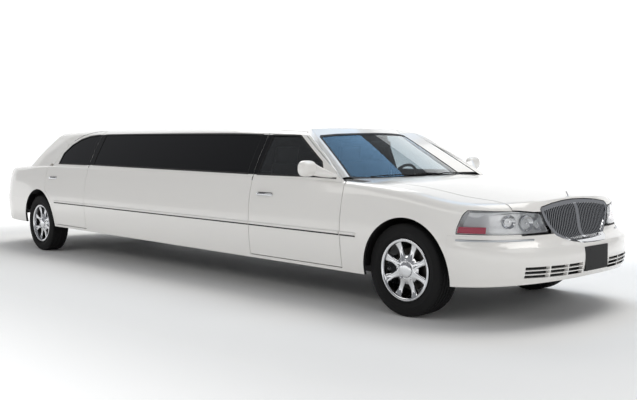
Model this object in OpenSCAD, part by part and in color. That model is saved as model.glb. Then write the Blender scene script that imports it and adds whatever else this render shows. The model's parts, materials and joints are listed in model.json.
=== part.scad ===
// Stretched six-window luxury limousine on a separate ladder chassis.
// X points to the front, Y to the left, Z up. The origin is on the ground, at the middle of the length and width.
// Side heights are given as if the body stood level, and the rake then raises the tail.

/* [Overall] */
// Distance between the axles
wheelbase = 6038; // [4500:1:7000]
// Front axle to the foremost point of the bumper
front_overhang = 1035; // [950:1:1150]
// Rear axle to the rearmost point of the bumper
rear_overhang = 1446; // [1300:1:1600]
// Greatest half width of the body sides, without mouldings
half_width = 985; // [900:1:1050]
// Height of the roof panel above a level line at its middle
roof_top = 1472; // [1420:1:1560]
// Rise of the body towards the tail, per millimetre of length
rake = 0.010; // [0:0.001:0.015]

/* [Wheels] */
// Outer radius of the tyre
tyre_r = 346; // [320:1:370]
// Width of the tyre
tyre_w = 225; // [195:1:245]
// Radius of the wheel rim's flange
rim_r = 231; // [205:1:245]
// Width of the rim over its flanges
rim_w = 205; // [180:1:215]
// Half of the front track
front_track = 805; // [760:1:830]
// Half of the rear track
rear_track = 828; // [790:1:840]
// Radius of the hub bore, which runs on the spindle
hub_bore_r = 22; // [18:1:28]
// Steering lock each way, in degrees
steer_lock = 33; // [20:1:35]
// Distance of the steering axis inboard of the tyre's middle
king_offset = 45; // [20:1:60]

/* [Panels] */
// Gap around doors, hood and trunk lid
shut_gap = 6; // [5.5:0.5:8]
// Gap between panels that are fixed to each other
seam = 0.4; // [0.2:0.1:0.8]
// Thickness of a door or side wall below the windows
door_t = 110; // [80:1:130]
// Thickness of pillars and window frames
frame_t = 42; // [34:1:50]
// Thickness of the roof panel with its lining
roof_t = 38; // [25:1:50]
// Thickness of the fenders, hood and lid
skin_t = 22; // [16:1:30]
// Thickness of the glass
glass_t = 6; // [4:1:10]
// Height of the lower edge of the body sides
sill_z = 280; // [250:1:310]
// Height of the lower edge of the doors
door_z = 312; // [305:1:380]
// Height of the waistline at the front door
belt_z = 992; // [960:1:1020]
// Inward slope of the side glass, sideways for each millimetre of height
tumble = 0.50; // [0.35:0.01:0.55]

/* [Doors] */
// Front axle back to the front door's front edge
front_door_x = 600; // [560:1:640]
// Length of the front door
front_door_len = 1137; // [1050:1:1200]
// Rear axle forward to the rear door's front edge
rear_door_x = 1258; // [1200:1:1300]
// Hinge axis behind the door's front edge
hinge_back = 55; // [45:1:65]
// Hinge axis inboard of the body side
hinge_in = 40; // [34:1:50]
// Radius of a hinge pin
pin_r = 8; // [6:1:10]

/* [Hidden] */
$fn = 48;

// ---- driving places ----
length = wheelbase + front_overhang + rear_overhang;
xf = length / 2 - front_overhang;            // front axle
xr = xf - wheelbase;                         // rear axle
hub_z = tyre_r;                              // axle height
floor_z = 330;                               // top of the cabin floor, level
floor_t = 24;                                // thickness of the floor pan
fd0 = xf - front_door_x;                     // front door, front edge
fd1 = fd0 - front_door_len;                  // front door, rear edge
rd0 = xr + rear_door_x;                      // rear door, front edge
rd1 = xr + 238;                              // rear door, rearmost point
lid_front = xr - 600;                        // trunk lid, front edge at the middle
fit = 0.1;                                   // running clearance of pins and spindles

// Smooth curve through the points [[x, value], ...], x rising: cubic pieces with the mean slope at each point.
function piece(k, x, i = 0) = (i >= len(k) - 2 || x < k[i + 1][0]) ? i : piece(k, x, i + 1);
function rise(k, i, j) = (k[j][1] - k[i][1]) / (k[j][0] - k[i][0]);
function slope(k, i) = rise(k, max(i - 1, 0), min(i + 1, len(k) - 1));
function cubic(a, b, m, n, h, t) =
    a * (2*t*t*t - 3*t*t + 1) + m * h * (t*t*t - 2*t*t + t) + b * (3*t*t - 2*t*t*t) + n * h * (t*t*t - t*t);
function curve(k, x) =
    x <= k[0][0] ? k[0][1] : x >= k[len(k) - 1][0] ? k[len(k) - 1][1] :
    let (i = piece(k, x), h = k[i + 1][0] - k[i][0])
    cubic(k[i][1], k[i + 1][1], slope(k, i), slope(k, i + 1), h, (x - k[i][0]) / h);
function mix(a, b, t) = a + (b - a) * t;
function raked(p) = [p[0], p[1], p[2] + rake * (xf - p[0])];
function rev(v) = [for (i = [len(v) - 1:-1:0]) v[i]];

// ---- lower body: an outline seen from above, with a section at each point of it ----
nose_x = xf + 300;                           // where the front corners begin
nose_len = front_overhang - 300;
nose_n = 2.6;                                // squareness of the nose seen from above
tail_x = xr - 690;                           // where the rear corners begin
tail_len = rear_overhang - 690;
tail_n = 2.5;
width_keys = [[tail_x, half_width - 27], [xr, half_width - 4], [xr + 700, half_width],
              [xf - 900, half_width], [xf, half_width - 2], [nose_x, half_width - 8]];
top_keys = [[xr - 1400, 880], [xr - 1290, 945], [xr - 1150, 975], [xr - 950, 992], [xr - 560, 1012], [xr + 300, 1024],
            [xf - 1400, 1004], [xf - 500, 1000], [xf, 990], [xf + 280, 965], [xf + 560, 928],
            [xf + 760, 893], [xf + 870, 866], [xf + 1000, 820]];
crown_keys = [[xr - 1300, 40], [xr - 600, 34], [xr, 22], [xr + 500, 14], [xf - 1300, 12], [xf - 700, 26],
              [xf, 62], [xf + 500, 104], [xf + 900, 96]];
round_keys = [[xr - 1300, 60], [xr - 500, 52], [xr, 30], [xr + 400, 22], [xf - 1000, 22], [xf - 500, 40],
              [xf, 66], [xf + 600, 60], [xf + 900, 40]];
side_wall = [[200, 42], [280, 24], [400, 9], [560, 0], [650, 1], [760, 9], [860, 24], [940, 44], [1040, 72]];
nose_wall = [[200, 90], [325, 42], [360, 16], [450, 0], [530, 4], [572, 22], [600, 96], [640, 128],
             [760, 150], [880, 172]];
tail_wall = [[200, 80], [300, 30], [350, 8], [470, 0], [590, 6], [628, 30], [660, 52], [777, 66], [860, 96],
             [940, 130]];

function outline_side(x) = [x, curve(width_keys, x), 0, 0];
function fan(a, x0, len, n, w) = [x0 + len * pow(cos(a), 2 / n), w * pow(sin(a), 2 / n)];
// Each outline point is [x, y, share of nose shape, share of tail shape].
function nose_pt(a) = concat(fan(a, nose_x, nose_len, nose_n, curve(width_keys, nose_x)), [pow(cos(a), 1.2), 0]);
function tail_pt(a) = concat(fan(a, tail_x, -tail_len, tail_n, curve(width_keys, tail_x)), [0, pow(cos(a), 1.2)]);
side_xs = [xf + 60, xf - 250, xf - 520, xf - 760, xf - 1100, fd1 - 60, mix(fd1, rd0, 0.5), rd0 + 60,
           xr + 700, xr + 300, xr, xr - 250, xr - 480];
half_outline = concat(
    [for (a = [0, 9, 18, 27, 36, 45, 54, 63, 72, 81]) nose_pt(a)],
    [outline_side(nose_x)], [for (x = side_xs) outline_side(x)], [outline_side(tail_x)],
    [for (a = [80, 68, 56, 44, 32, 21, 10, 0]) tail_pt(a)]);
function pole(p) = [min(max(p[0], tail_x), nose_x), 0];
function wall_inset(p, z) =
    mix(mix(curve(side_wall, z), curve(nose_wall, z), p[2]), curve(tail_wall, z), p[3]);
function top_z(x, y) = curve(top_keys, x) - curve(crown_keys, x) * pow(abs(y) / half_width, 2.4);
function base_z(p) = sill_z + 48 * p[2] + 40 * p[3];
function toward(p, d) = let (s = pole(p), l = norm([p[0] - s[0], p[1]])) [p[0] + (s[0] - p[0]) * d / l, p[1] * (1 - d / l)];
function shoulder(p) = let (q = toward(p, 40)) top_z(q[0], q[1]);
// Section at outline point p, made t smaller all round and carried down to drop below its lower edge.
function section(p, t, drop, nw, nc, nt) =
    let (r = curve(round_keys, p[0]), zc = shoulder(p), z0 = base_z(p), z1 = zc - r,
         dc = wall_inset(p, zc), s = pole(p), reach = norm([p[0] - s[0], p[1]]),
         a = [wall_inset(p, z1), z1], b = [dc, zc], d2 = dc + r * 1.2, q2 = toward(p, d2), c = [d2, top_z(q2[0], q2[1])])
    concat(
        drop > 0 ? [[wall_inset(p, z0) + t, z0 - drop]] : [],
        [for (i = [0:nw]) let (z = mix(z0, z1, i / nw)) [wall_inset(p, z) + t, z]],
        [for (i = [1:nc]) let (u = i / nc, g = a * (1-u)*(1-u) + b * 2*u*(1-u) + c * u*u) [g[0] + t * (1 - u), g[1] - t * u]],
        [for (i = [1:nt]) let (d = mix(d2, reach * 0.985, i / nt), q = toward(p, d)) [d, top_z(q[0], q[1]) - t]]);
function place(p, g) = let (q = toward(p, g[0])) raked([q[0], q[1], g[1]]);
function mirrored(v) = [for (p = v) [p[0], -p[1], p[2]]];
// Closed skin from equal rings, each ring symmetric about Y = 0 and starting at the nose.
module ring_solid(rings) {
    m = len(rings[0]);
    k = len(rings);
    h = m / 2;
    sides = [for (j = [0:k - 2], i = [0:m - 1]) let (a = j*m + i, b = j*m + (i+1) % m, c = b + m, d = a + m) each [[a, c, b], [a, d, c]]];
    function cap(o) = concat([[o, o + 1, o + m - 1], [o + h, o + h + 1, o + h - 1]],
        [for (i = [1:h - 2]) each [[o + i, o + i + 1, o + m - i - 1], [o + i, o + m - i - 1, o + m - i]]]);
    polyhedron([for (r = rings) each r],
        concat(sides, [for (f = cap(0)) f], [for (f = cap((k - 1) * m)) rev(f)]));
}
module lower_body(t = 0, drop = 0, nw = 5, nc = 3, nt = 2) {
    halves = [for (p = half_outline) let (g = section(p, t, drop, nw, nc, nt)) [for (q = g) place(p, q)]];
    n = len(halves);
    rings = [for (j = [0:len(halves[0]) - 1]) concat(
        [for (i = [0:n - 1]) halves[i][j]],
        [for (i = [n - 2:-1:1]) let (v = halves[i][j]) [v[0], -v[1], v[2]]])];
    ring_solid(rings);
}

// ---- greenhouse: a tube of sections along X, cut by the windshield and rear window surfaces ----
waist_keys = [[xr - 700, 840], [xr - 350, 888], [xr + 200, 912], [xr + 900, 922], [xf - 1200, 922], [xf - 700, 918]];
rail_keys = [[xr - 500, 1250], [xr - 150, 1330], [xr + 250, 1368], [xr + 900, 1381], [xf - 3200, 1376],
             [xf - 2200, 1367], [xf - 1770, 1355], [xf - 1350, 1340], [xf - 1000, 1318]];
crest_keys = [[xr - 500, -130], [xr - 100, -52], [xr + 300, -12], [xr + 1200, 6], [xf - 3000, 2], [xf - 2100, -6],
              [xf - 1685, -16], [xf - 1300, -52], [xf - 1120, -84], [xf - 900, -140]];
function waist_z(x) = belt_z + curve([[xr - 400, 40], [xr + 500, 36], [xf - 1200, 0]], x);
function roof_z(x) = roof_top + curve(crest_keys, x);
function rail_pt(x) = let (z = curve(rail_keys, x) + (roof_top - 1472)) [curve(waist_keys, x) - tumble * (z - belt_z) - 8, z];
function bulge(u) = 14 * 4 * u * (1 - u);
// Half section of the greenhouse from below the waist to the middle of the roof, t smaller all round.
function hoop(x, t, tr, ng = 4, nr = 7) =
    let (w = curve(waist_keys, x), r = rail_pt(x), zt = roof_z(x),
         p1 = [r[0] - 42 * tumble * 1.6, r[1] + 62], p2 = [r[0] * 0.62, zt - 4], p3 = [0, zt])
    concat(
        [for (z = [940, belt_z, for (i = [1:ng]) mix(belt_z, r[1], i / ng)])
            z < belt_z ? [w - t, z] : let (u = (z - belt_z) / (r[1] - belt_z)) [w - tumble * (z - belt_z) - 8 * u + bulge(u) / 2 - t, z]],
        [for (i = [1:nr]) let (u = i / nr, v = 1 - u, q = r*v*v*v + p1*3*u*v*v + p2*3*u*u*v + p3*u*u*u)
            [q[0] - t * v, q[1] - tr * u]]);
tube_xs = concat([for (x = [xr - 760, xr - 600, xr - 420, xr - 240, xr - 60, xr + 150, xr + 400, xr + 800]) x],
                 [rd0 + 95, mix(fd1, rd0, 0.52), fd1 - 95],
                 [for (x = [1950, 1760, 1560, 1400, 1260, 1130, 1000, 800, 560]) xf - x]);
module tube(t = 0, tr = 0) {
    loops = [for (x = tube_xs) let (h = hoop(x, t, tr), n = len(h)) concat(
        [for (q = h) raked([x, q[0], q[1]])], [for (i = [n - 2:-1:0]) raked([x, -h[i][0], h[i][1]])])];
    m = len(loops[0]);
    k = len(loops);
    polyhedron([for (l = loops) each l],
        concat([for (j = [0:k - 2], i = [0:m - 1]) let (a = j*m + i, b = j*m + (i+1) % m, c = b + m, d = a + m) each [[a, c, b], [a, d, c]]],
            [[for (i = [0:m - 1]) i]], [[for (i = [m - 1:-1:0]) (k - 1) * m + i]]));
}
// Front and rear glass surfaces: x at a point (y, z) above the waist. Past glass_y the front pillars come forward.
function glass_y(z) = 730 - 0.43 * (z - 985);
function screen_x(y, z) = let (h = z - 990, a = abs(y), g = min(a, glass_y(z)))
    xf - 500 - 1.67 * h - (0.000458 + 0.00000041 * h) * g * g + 0.6 * (a - g) + bulge(min(max(h / 375, 0), 1));
function back_x(y, z) = let (h = z - 1000) xr - 545 + 1.45 * h + 0.0003 * y * y - bulge(min(max(h / 380, 0), 1));
// Everything behind the windshield surface and ahead of the rear window surface, moved inwards by t.
bound_zs = [880, 985, 1060, 1140, 1220, 1300, 1380, 1560];
bound_us = [-2, -1.5, -1, -0.75, -0.5, -0.25, 0, 0.25, 0.5, 0.75, 1, 1.5, 2];
function bound_y(u, z) = abs(u) <= 1 ? u * glass_y(z) : sign(u) * mix(glass_y(z), 1000, abs(u) - 1);
module glass_bound(t = 0) {
    ny = len(bound_us);
    nz = len(bound_zs);
    n = ny * nz;
    pts = concat([for (z = bound_zs, u = bound_us) let (y = bound_y(u, z)) raked([screen_x(y, z) - t * 1.95, y, z])],
                 [for (z = bound_zs, u = bound_us) let (y = bound_y(u, z)) raked([back_x(y, z) + t * 1.76, y, z])]);
    function sheet(o, f) = [for (j = [0:nz - 2], i = [0:ny - 2])
        let (a = o + j*ny + i, b = a + 1, c = b + ny, d = a + ny) each f ? [[a, c, b], [a, d, c]] : [[a, b, c], [a, c, d]]];
    function ends(o) = [for (i = [0:ny - 2]) let (a = o + i) each [[a, a + 1, n + a + 1], [a, n + a + 1, n + a]]];
    function flanks(o) = [for (j = [0:nz - 2]) let (a = o + j*ny, b = a + ny) each [[a, n + a, n + b], [a, n + b, b]]];
    polyhedron(pts, concat(sheet(0, true), sheet(n, false), ends(0), [for (f = ends(n - ny)) rev(f)],
        flanks(0), [for (f = flanks(ny - 1)) rev(f)]));
}
module greenhouse(t = 0, tr = 0) intersection() {
    tube(t, tr);
    glass_bound(t == 0 ? 0 : t);
}

// Shapes made of triangles are kept as one mesh each.
module skin() resize([0, 0, 0]) children();
// Right-hand piece for side -1, the same piece mirrored for side 1.
module on_side(side) mirror([0, side > 0 ? 1 : 0, 0]) children();
module both_sides() { children(); mirror([0, 1, 0]) children(); }
// The body's own space: heights stated as if the body stood level.
module body_space() multmatrix([[1, 0, 0, 0], [0, 1, 0, 0], [-rake, 0, 1, rake * xf], [0, 0, 0, 1]]) children();
module block(lo, hi) translate(lo) cube(hi - lo);
// A side-view outline carried across the right side from y = -near to y = -far. lean moves it forward going inwards
// from y0, and k tilts the whole prism inwards above the waistline.
module across(near, far, lean = 0, k = 0, y0 = 0) body_space()
    multmatrix([[1, lean, 0, lean * y0], [0, 1, k, -k * belt_z], [0, 0, 1, 0], [0, 0, 0, 1]])
        rotate([90, 0, 0]) translate([0, 0, near]) linear_extrude(far - near) children();
// A front-view outline [y, z] carried along X.
module along(x0, x1) body_space()
    translate([x0, 0, 0]) rotate([90, 0, 90]) linear_extrude(x1 - x0) children();
module tall(z0, z1) translate([0, 0, z0]) linear_extrude(z1 - z0) children();

// ---- where the panels part ----
door_y = half_width - door_t;                // inner face of the doors and side walls
hinge_y = -(half_width - hinge_in);
hinge_r = norm([hinge_back, hinge_in]);
arch_front = [xf + 52, 335, 405];            // wheel openings: x, z, radius
arch_rear = [xr + 34, 350, 425];
arch_lip = 46;                               // quarter panel between the rear door and the wheel opening
bumper_top = 640;
rear_bumper_top = 602;
hood_edge = 735;                             // half width of the hood
lid_edge = 690;
top_line = [[fd0 - 710, 1383], [fd0 - 1140, 1393], [xf - 2200, 1406], [xf - 3200, 1416], [xr + 1550, 1421],
            [xr + 1230, 1421]];              // where the roof meets the door frames
win_line = [[fd0 - 716, 1346], [fd0 - 1150, 1354], [xf - 2200, 1367], [xf - 3200, 1376], [xr + 1550, 1381], [xr + 1200, 1380]];
function top_at(x) = curve(rev(top_line), x);
function win_at(x) = curve(rev(win_line), x);
front_frame = concat([[fd0 - 30, 960], [fd0 - 30, 1003], [fd0 - 295, 1150], [fd0 - 692, 1371]],
    [for (i = [0:5]) let (x = mix(fd0 - 730, fd1, i / 5)) [x, top_at(x)]], [[fd1, 960]]);
front_window = concat([[fd0 - 240, belt_z + 14], [fd0 - 315, 1125], [fd0 - 700, 1340]],
    [for (i = [0:4]) let (x = mix(fd0 - 730, fd1 + 60, i / 4)) [x, win_at(x)]], [[fd1 + 46, belt_z + 14]]);
rear_frame = concat([[rd0, 960]], [for (i = [0:3]) let (x = mix(rd0, xr + 1210, i / 3)) [x, top_at(x)]],
    [[xr + 1020, 1412], [xr + 800, 1372], [xr + 620, 1308], [xr + 470, 1210], [xr + 400, 1100], [xr + 330, 1000], [rd1 + 6, 960]]);
rear_window_side = concat([[rd0 - 50, belt_z + 44]],
    [for (i = [0:2]) let (x = mix(rd0 - 56, xr + 1180, i / 2)) [x, win_at(x)]],
    [[xr + 980, 1368], [xr + 790, 1330], [xr + 630, 1265], [xr + 500, 1165], [xr + 478, belt_z + 46]]);
stretch_frame = concat([[fd1, 960]], [for (i = [0:8]) let (x = mix(fd1, rd0, i / 8)) [x, top_at(x)]], [[rd0, 960]]);
long_window = let (a = fd1 - 84, b = rd0 + 84) concat(
    [[a, belt_z + 17]], [for (i = [0:6]) let (x = mix(a, b, i / 6)) [x, win_at(x)]], [[b, belt_z + 46]]);
module front_low(g = 0) offset(delta = g) polygon([[fd0 + 200, door_z], [fd1, door_z], [fd1, 1030], [fd0 + 200, 1030]]);
module rear_low(g = 0) difference() {
    offset(delta = g) polygon([[rd0 + 200, door_z], [xr + 300, door_z], [rd1, 700], [rd1, 900], [rd1 + 8, 1030], [rd0 + 200, 1030]]);
    translate([arch_rear[0], arch_rear[1] - rake * (xf - arch_rear[0])]) circle(arch_rear[2] + arch_lip - g, $fn = 64);
}
// Seen from above, everything of a door that lies behind its front edge.
module door_nose(d0, r) translate([d0 - hinge_back, hinge_y]) {
    circle(r, $fn = 64);
    translate([-4000, -400]) square([4000, 2000]);
}
lean_low = 0.10;
lean_high = 0.26;
module door_low(d0, g) intersection() {
    across(0, half_width + 60, lean_low, 0, half_width) children();
    tall(0, 1100) door_nose(d0, hinge_r + g);
    block([-length, -half_width - 60, 0], [length, -door_y + (g > 0 ? 12 : 0), 1200]);
}
// Door frames follow the slope of the side glass, frame_t deep.
waist_y = 922;
module slanted(depth) across(waist_y - depth, 1010, lean_high, tumble, waist_y) children();
module door_high(pts, g) slanted(frame_t + (g > 0 ? 12 : 2)) offset(delta = g) polygon(pts);
module front_door_zone(g = 0) { door_low(fd0, g) front_low(g); door_high(front_frame, g); }
module rear_door_zone(g = 0) { door_low(rd0, g) rear_low(g); door_high(rear_frame, g); }
module both_door_zones() both_sides() { front_door_zone(shut_gap); rear_door_zone(shut_gap); }

function glass_back_y(z) = 690 - 0.36 * (z - 1020);
screen_outline = [for (z = [1000, 1120, 1240, 1330]) [glass_y(z) - 14, z]];
screen_top = [[glass_y(1340) - 34, 1346], [400, 1358], [200, 1364], [0, 1366]];
screen_low = [[0, 985], [250, 984], [450, 985], [620, 988], [690, 992]];
back_outline = [for (z = [1046, 1140, 1240, 1330]) [glass_back_y(z) - 8, z]];
back_top = [[glass_back_y(1330) - 40, 1346], [300, 1358], [0, 1362]];
back_low = [[0, 1022], [350, 1024], [600, 1030]];
function closed(right) = concat(right, [for (p = rev(right)) if (p[0] > 0) [-p[0], p[1]]]);
module screen_zone(g = 0) offset(delta = g) polygon(closed(concat(screen_low, screen_outline, screen_top)));
module back_zone(g = 0) offset(delta = g) polygon(closed(concat(back_low, back_outline, back_top)));

// Hood and lid seen from above
function hood_rear(y) = screen_x(y, 990) + 54;
hood_plan = concat([for (y = [-hood_edge:105:hood_edge]) [hood_rear(y), y]],
    [[xf + 100, hood_edge], [xf + 420, hood_edge - 8], [xf + 640, hood_edge - 60], [xf + 1050, hood_edge - 60],
     [xf + 1050, 60 - hood_edge], [xf + 640, 60 - hood_edge], [xf + 420, 8 - hood_edge], [xf + 100, -hood_edge]]);
lid_plan = [[lid_front, -lid_edge], [lid_front, lid_edge], [tail_x - 200, lid_edge - 6], [xr - 1600, lid_edge - 30],
            [xr - 1600, 30 - lid_edge], [tail_x - 200, 6 - lid_edge]];
lamp_face = [[-1000, 652], [-1000, 816], [-900, 818], [-640, 808], [-462, 788], [-440, 720], [-392, 655], [-650, 650]];
lamp_end = [[xf + 500, 600], [xf + 500, 680], [xf + 540, 790], [xf + 575, 830], [xf + 1100, 830], [xf + 1100, 600]];
module lamp_zone(g = 0) intersection() {
    along(xf + 300, xf + 1100) offset(delta = g) polygon(lamp_face);
    across(0, 1100) offset(delta = g) polygon(lamp_end);
}
grille_half = [[0, 566], [140, 570], [250, 590], [330, 628], [385, 680], [425, 738], [446, 790], [448, 812], [430, 826],
               [300, 846], [150, 858], [0, 862]];
module grille_zone(g = 0) offset(delta = g) polygon(closed(grille_half));
tail_face = [[-1000, 628], [-1000, 872], [-860, 884], [-650, 872], [-650, 628]];
module tail_zone(g = 0) intersection() {
    along(xr - 1600, xr - 900) offset(delta = g) polygon(tail_face);
    across(0, 1100) offset(delta = g) polygon([[xr - 1600, 600], [xr - 1600, 900], [xr - 1070, 900], [xr - 1000, 640], [xr - 1000, 600]]);
}
module front_low_zone(g = 0) body_space() block([xf + 441 - g, -1100, 0], [xf + 1200, 1100, bumper_top + g]);
module rear_low_zone(g = 0) body_space() block([xr - 1600, -1100, 0], [xr - 393 + g, 1100, rear_bumper_top + g]);
module hood_zone(g = 0) tall(700, 1200) offset(delta = g) polygon(hood_plan);
module lid_zone(g = 0) body_space() tall(rear_bumper_top + 10 - g, 1200) offset(delta = g) polygon(lid_plan);
module arches() both_sides() for (a = [arch_front, arch_rear])
    translate([a[0], -600, a[1]]) rotate([90, 0, 0]) cylinder(r = a[2], h = 600, $fn = 72);

// ---- painted panels ----
paint = [0.95, 0.95, 0.93];
dark = [0.08, 0.08, 0.09];
metal = [0.62, 0.63, 0.65];
module shell(t) difference() { lower_body(); lower_body(t, 60); }
module upper_shell() difference() { greenhouse(); greenhouse(frame_t, roof_t); }

// Side walls between the doors, pillars beside the long window, and the sill strips under the doors.
module body_side_panels() color(paint) skin() difference() {
    intersection() {
        union() {
            intersection() { lower_body(); both_sides() block([xr - 200, -1100, 0], [fd0 + 200, -door_y, 1100]); }
            intersection() { upper_shell(); both_sides() door_high(stretch_frame, -seam / 2); }
        }
        both_sides() union() {
            across(300, 1100) polygon([[fd1, 0], [fd1, 1500], [rd0, 1500], [rd0, 0]]);
            across(door_y - 5, 1100) polygon([[xr + 462, 0], [xr + 462, door_z - 1], [fd0 - 1, door_z - 1], [fd0 - 1, 0]]);
        }
    }
    both_door_zones();
    both_sides() body_space() block([rd0 - 2, -892, 945], [rd0 + 20, -860, 1000]);  // the door frame's foot swings here
    both_sides() slanted(120) polygon(long_window);
    arches();
}
module privacy_glass() color(dark) skin() both_sides() intersection() {
    difference() { tube(6); tube(6 + glass_t); }
    slanted(120) offset(delta = -seam) polygon(long_window);
}

// Rear quarters with the rear roof pillars and the strip of deck ahead of the trunk lid.
module quarter_panels() color(paint) skin() difference() {
    union() {
        intersection() {
            shell(skin_t);
            body_space() block([xr - 1600, -1100, 0], [xr + 520, 1100, 1100]);
        }
        intersection() { lower_body(); both_sides() body_space() block([xr - 200, -1100, 300], [xr + 520, -door_y, 1100]); }
        intersection() {
            upper_shell();
            across(-1100, 1100) polygon([[xr + 520, 960], [xr + 520, 1262], [xr + 330, 1340], [xr - 40, 1340], [xr - 700, 1120], [xr - 700, 960]]);
        }
    }
    both_door_zones();
    body_space() {
        block([xr - 400, -770, 700], [xr + 600, 770, 1030]);
        block([xr - 200, -door_y, 200], [xr + 600, door_y, 985]);
        block([lid_front, 20 - lid_edge, 700], [xr - 400, lid_edge - 20, 979.2]);
        block([xr + 462 - seam, -1100, 0], [xr + 600, 1100, door_z - 1 + seam]);
        block([lid_front - 50, -lid_edge - shut_gap, 800], [lid_front + lid_gap, lid_edge + shut_gap, 1100]);
    }
    along(xr - 1000, xr + 200) back_zone(seam);
    lid_zone(shut_gap);
    both_sides() tail_zone(seam);
    rear_low_zone(seam);
    body_space() block([xr - 1600, -lid_edge, 590], [xr - 900, lid_edge, 700]);
    arches();
}

// Roof with the front pillars, the windshield header and the rear header.
module roof_panel() color(paint) skin() difference() {
    upper_shell();
    both_door_zones();
    both_sides() {
        door_high(concat([[fd1 - 2, 900]], [for (i = [0:8]) let (x = mix(fd1, rd0, i / 8)) [x, top_at(x)]], [[rd0 + 2, 900]]), seam / 2);
        block([-length, -1100, 0], [0, -450, 900]);
    }
    across(-1100, 1100) polygon([[xr + 530, 700], [xr + 530, 1262 + seam], [xr + 330, 1340 + seam], [xr - 40, 1340 + seam], [xr - 760, 1120 - 14], [xr - 760, 700]]);
    along(xf - 1500, xf) screen_zone(seam);
    along(xr - 1000, xr + 200) back_zone(seam);
    body_space() block([xr - 800, -1100, 800], [xf - 300, 1100, 1003]);
}
module cowl_panel() color(dark) skin() difference() {
    intersection() {
        shell(skin_t);
        body_space() block([xf - 860, -door_y + 14, 900], [xf - 300, door_y - 14, 1100]);
    }
    hood_zone(shut_gap + 8);
    screen_cut();
    body_space() block([xf - 460, -1100, 800], [xf, 1100, 1100]);
    tall(0, 1200) polygon([for (y = [-980:140:980]) [screen_x(min(abs(y), 730), 990) - 20, y], [xf - 1200, 980], [xf - 1200, -980]]);
    both_door_zones();
    both_sides() block([hood_pin[0] - 40, -742, 0], [xf - 560, -712, 1100]);
}

module front_fenders() color(paint) skin() difference() {
    intersection() {
        shell(skin_t);
        body_space() block([fd0 - 20, -1100, 0], [xf + 1100, 1100, 1100]);
    }
    hood_zone(shut_gap);
    body_space() {
        block([fd0 - 300, -door_y + 14 - seam, 700], [xf - 455, door_y - 14 + seam, 1100]);
        block([fd0 - 30, -1100, 0], [fd0 - 1 + seam, 1100, 700]);
        block([xf - 460, -700, 700], [xf - 420, 700, 1100]);
    }
    both_door_zones();
    both_sides() lamp_zone(seam);
    along(xf + 600, xf + 1100) grille_zone(seam);
    front_low_zone(seam);
    body_space() block([xf + 300, -640, 600], [xf + 1100, 640, 1000]);
    arches();
}
slot_y = [176, 342, 512, 698];               // bars between the slots of the lower grille
slot_bar = 5;
module front_bumper() color(paint) skin() difference() {
    intersection() { shell(skin_t + 8); front_low_zone(); }
    along(xf + 600, xf + 1100) grille_zone(seam);
    body_space() both_sides() for (z = [362, 390, 418], i = [0:2])
        block([xf + 500, -slot_y[i + 1] + slot_bar, z], [xf + 1200, -slot_y[i] - slot_bar, z + 20]);
    plate_box(seam);
    arches();
}
// Blank holder for a registration plate, let into the bumper, with the holes for its four screws.
plate_hole_r = 3.5;
plate_pitch = [178, 121];
plate_size = [310, 172];
plate_z = 446;
plate_depth = 24;
module plate_box(g) translate([xf + front_overhang - plate_depth - g, -plate_size[0] / 2 - g, plate_z - plate_size[1] / 2 - g])
    cube([plate_depth + g, plate_size[0] + 2 * g, plate_size[1] + 2 * g]);
module plate_bracket() color(dark) difference() {
    plate_box(0);
    for (y = [-0.5, 0.5], z = [-0.5, 0.5])
        translate([xf + front_overhang - plate_depth - 5, y * plate_pitch[0], plate_z + z * plate_pitch[1]])
            rotate([0, 90, 0]) cylinder(r = plate_hole_r, h = plate_depth + 10);
}
module rear_bumper() color(paint) skin() difference() {
    intersection() { shell(skin_t + 8); rear_low_zone(); }
    arches();
}
module hood() color(paint) skin() difference() {
    union() {
        intersection() { shell(skin_t); hood_zone(); body_space() block([xf - 800, -1100, 790], [xf + 1100, 1100, 1100]); }
        both_sides() body_space() block([hood_pin[0] - 18, -732, hood_pin[1] - 16], [xf - 560, -722, 975]);
    }
    both_sides() lamp_zone(shut_gap);
    along(xf + 600, xf + 1100) grille_zone(shut_gap);
    body_space() block([xf + 700, -1100, 0], [xf + 1100, 1100, 800]);
    hood_pins(pin_r + fit);
}
hood_pin = [xf - 742, 950];                  // hinge line of the hood: x and level height
lid_pin = [lid_front + 150, 950];
lid_gap = 11;                                // gap ahead of the lid, which its front edge swings through
// Middle line of the lid's curved hinge arm, from the pin: it passes under the deck and comes up behind it.
lid_arm = [[0, 0], [-20, -60], [-60, -165], [-150, -150], [-212, -70], [-212, 34]];
module lid_arms() both_sides() body_space() translate([lid_pin[0], -626, lid_pin[1]]) rotate([90, 0, 0]) linear_extrude(10) {
    circle(16);
    for (i = [0:len(lid_arm) - 2]) let (a = lid_arm[i], b = lid_arm[i + 1], d = (b - a) / norm(b - a) * 9, n = [-d[1], d[0]])
        polygon([a + n - d * 0.4, b + n + d * 0.4, b - n + d * 0.4, a - n - d * 0.4]);
}
module hood_pins(r) both_sides() translate([hood_pin[0], -742, raked([hood_pin[0], 0, hood_pin[1]])[2]]) rotate([-90, 0, 0]) cylinder(r = r, h = 26);
module lid_pins(r) both_sides() translate([lid_pin[0], -644, raked([lid_pin[0], 0, lid_pin[1]])[2]]) rotate([-90, 0, 0]) cylinder(r = r, h = 26);
module trunk_lid() color(paint) skin() difference() {
    union() {
        intersection() { shell(skin_t); lid_zone(); }
        lid_arms();
    }
    body_space() multmatrix([[1, 0, 0.5, -0.5 * 1000], [0, 1, 0, 0], [0, 0, 1, 0], [0, 0, 0, 1]])
        block([lid_front - 7, -lid_edge, 900], [lid_front + 60, lid_edge, 994]);
    both_sides() tail_zone(shut_gap);
    lid_pins(pin_r + fit);
}

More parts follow.
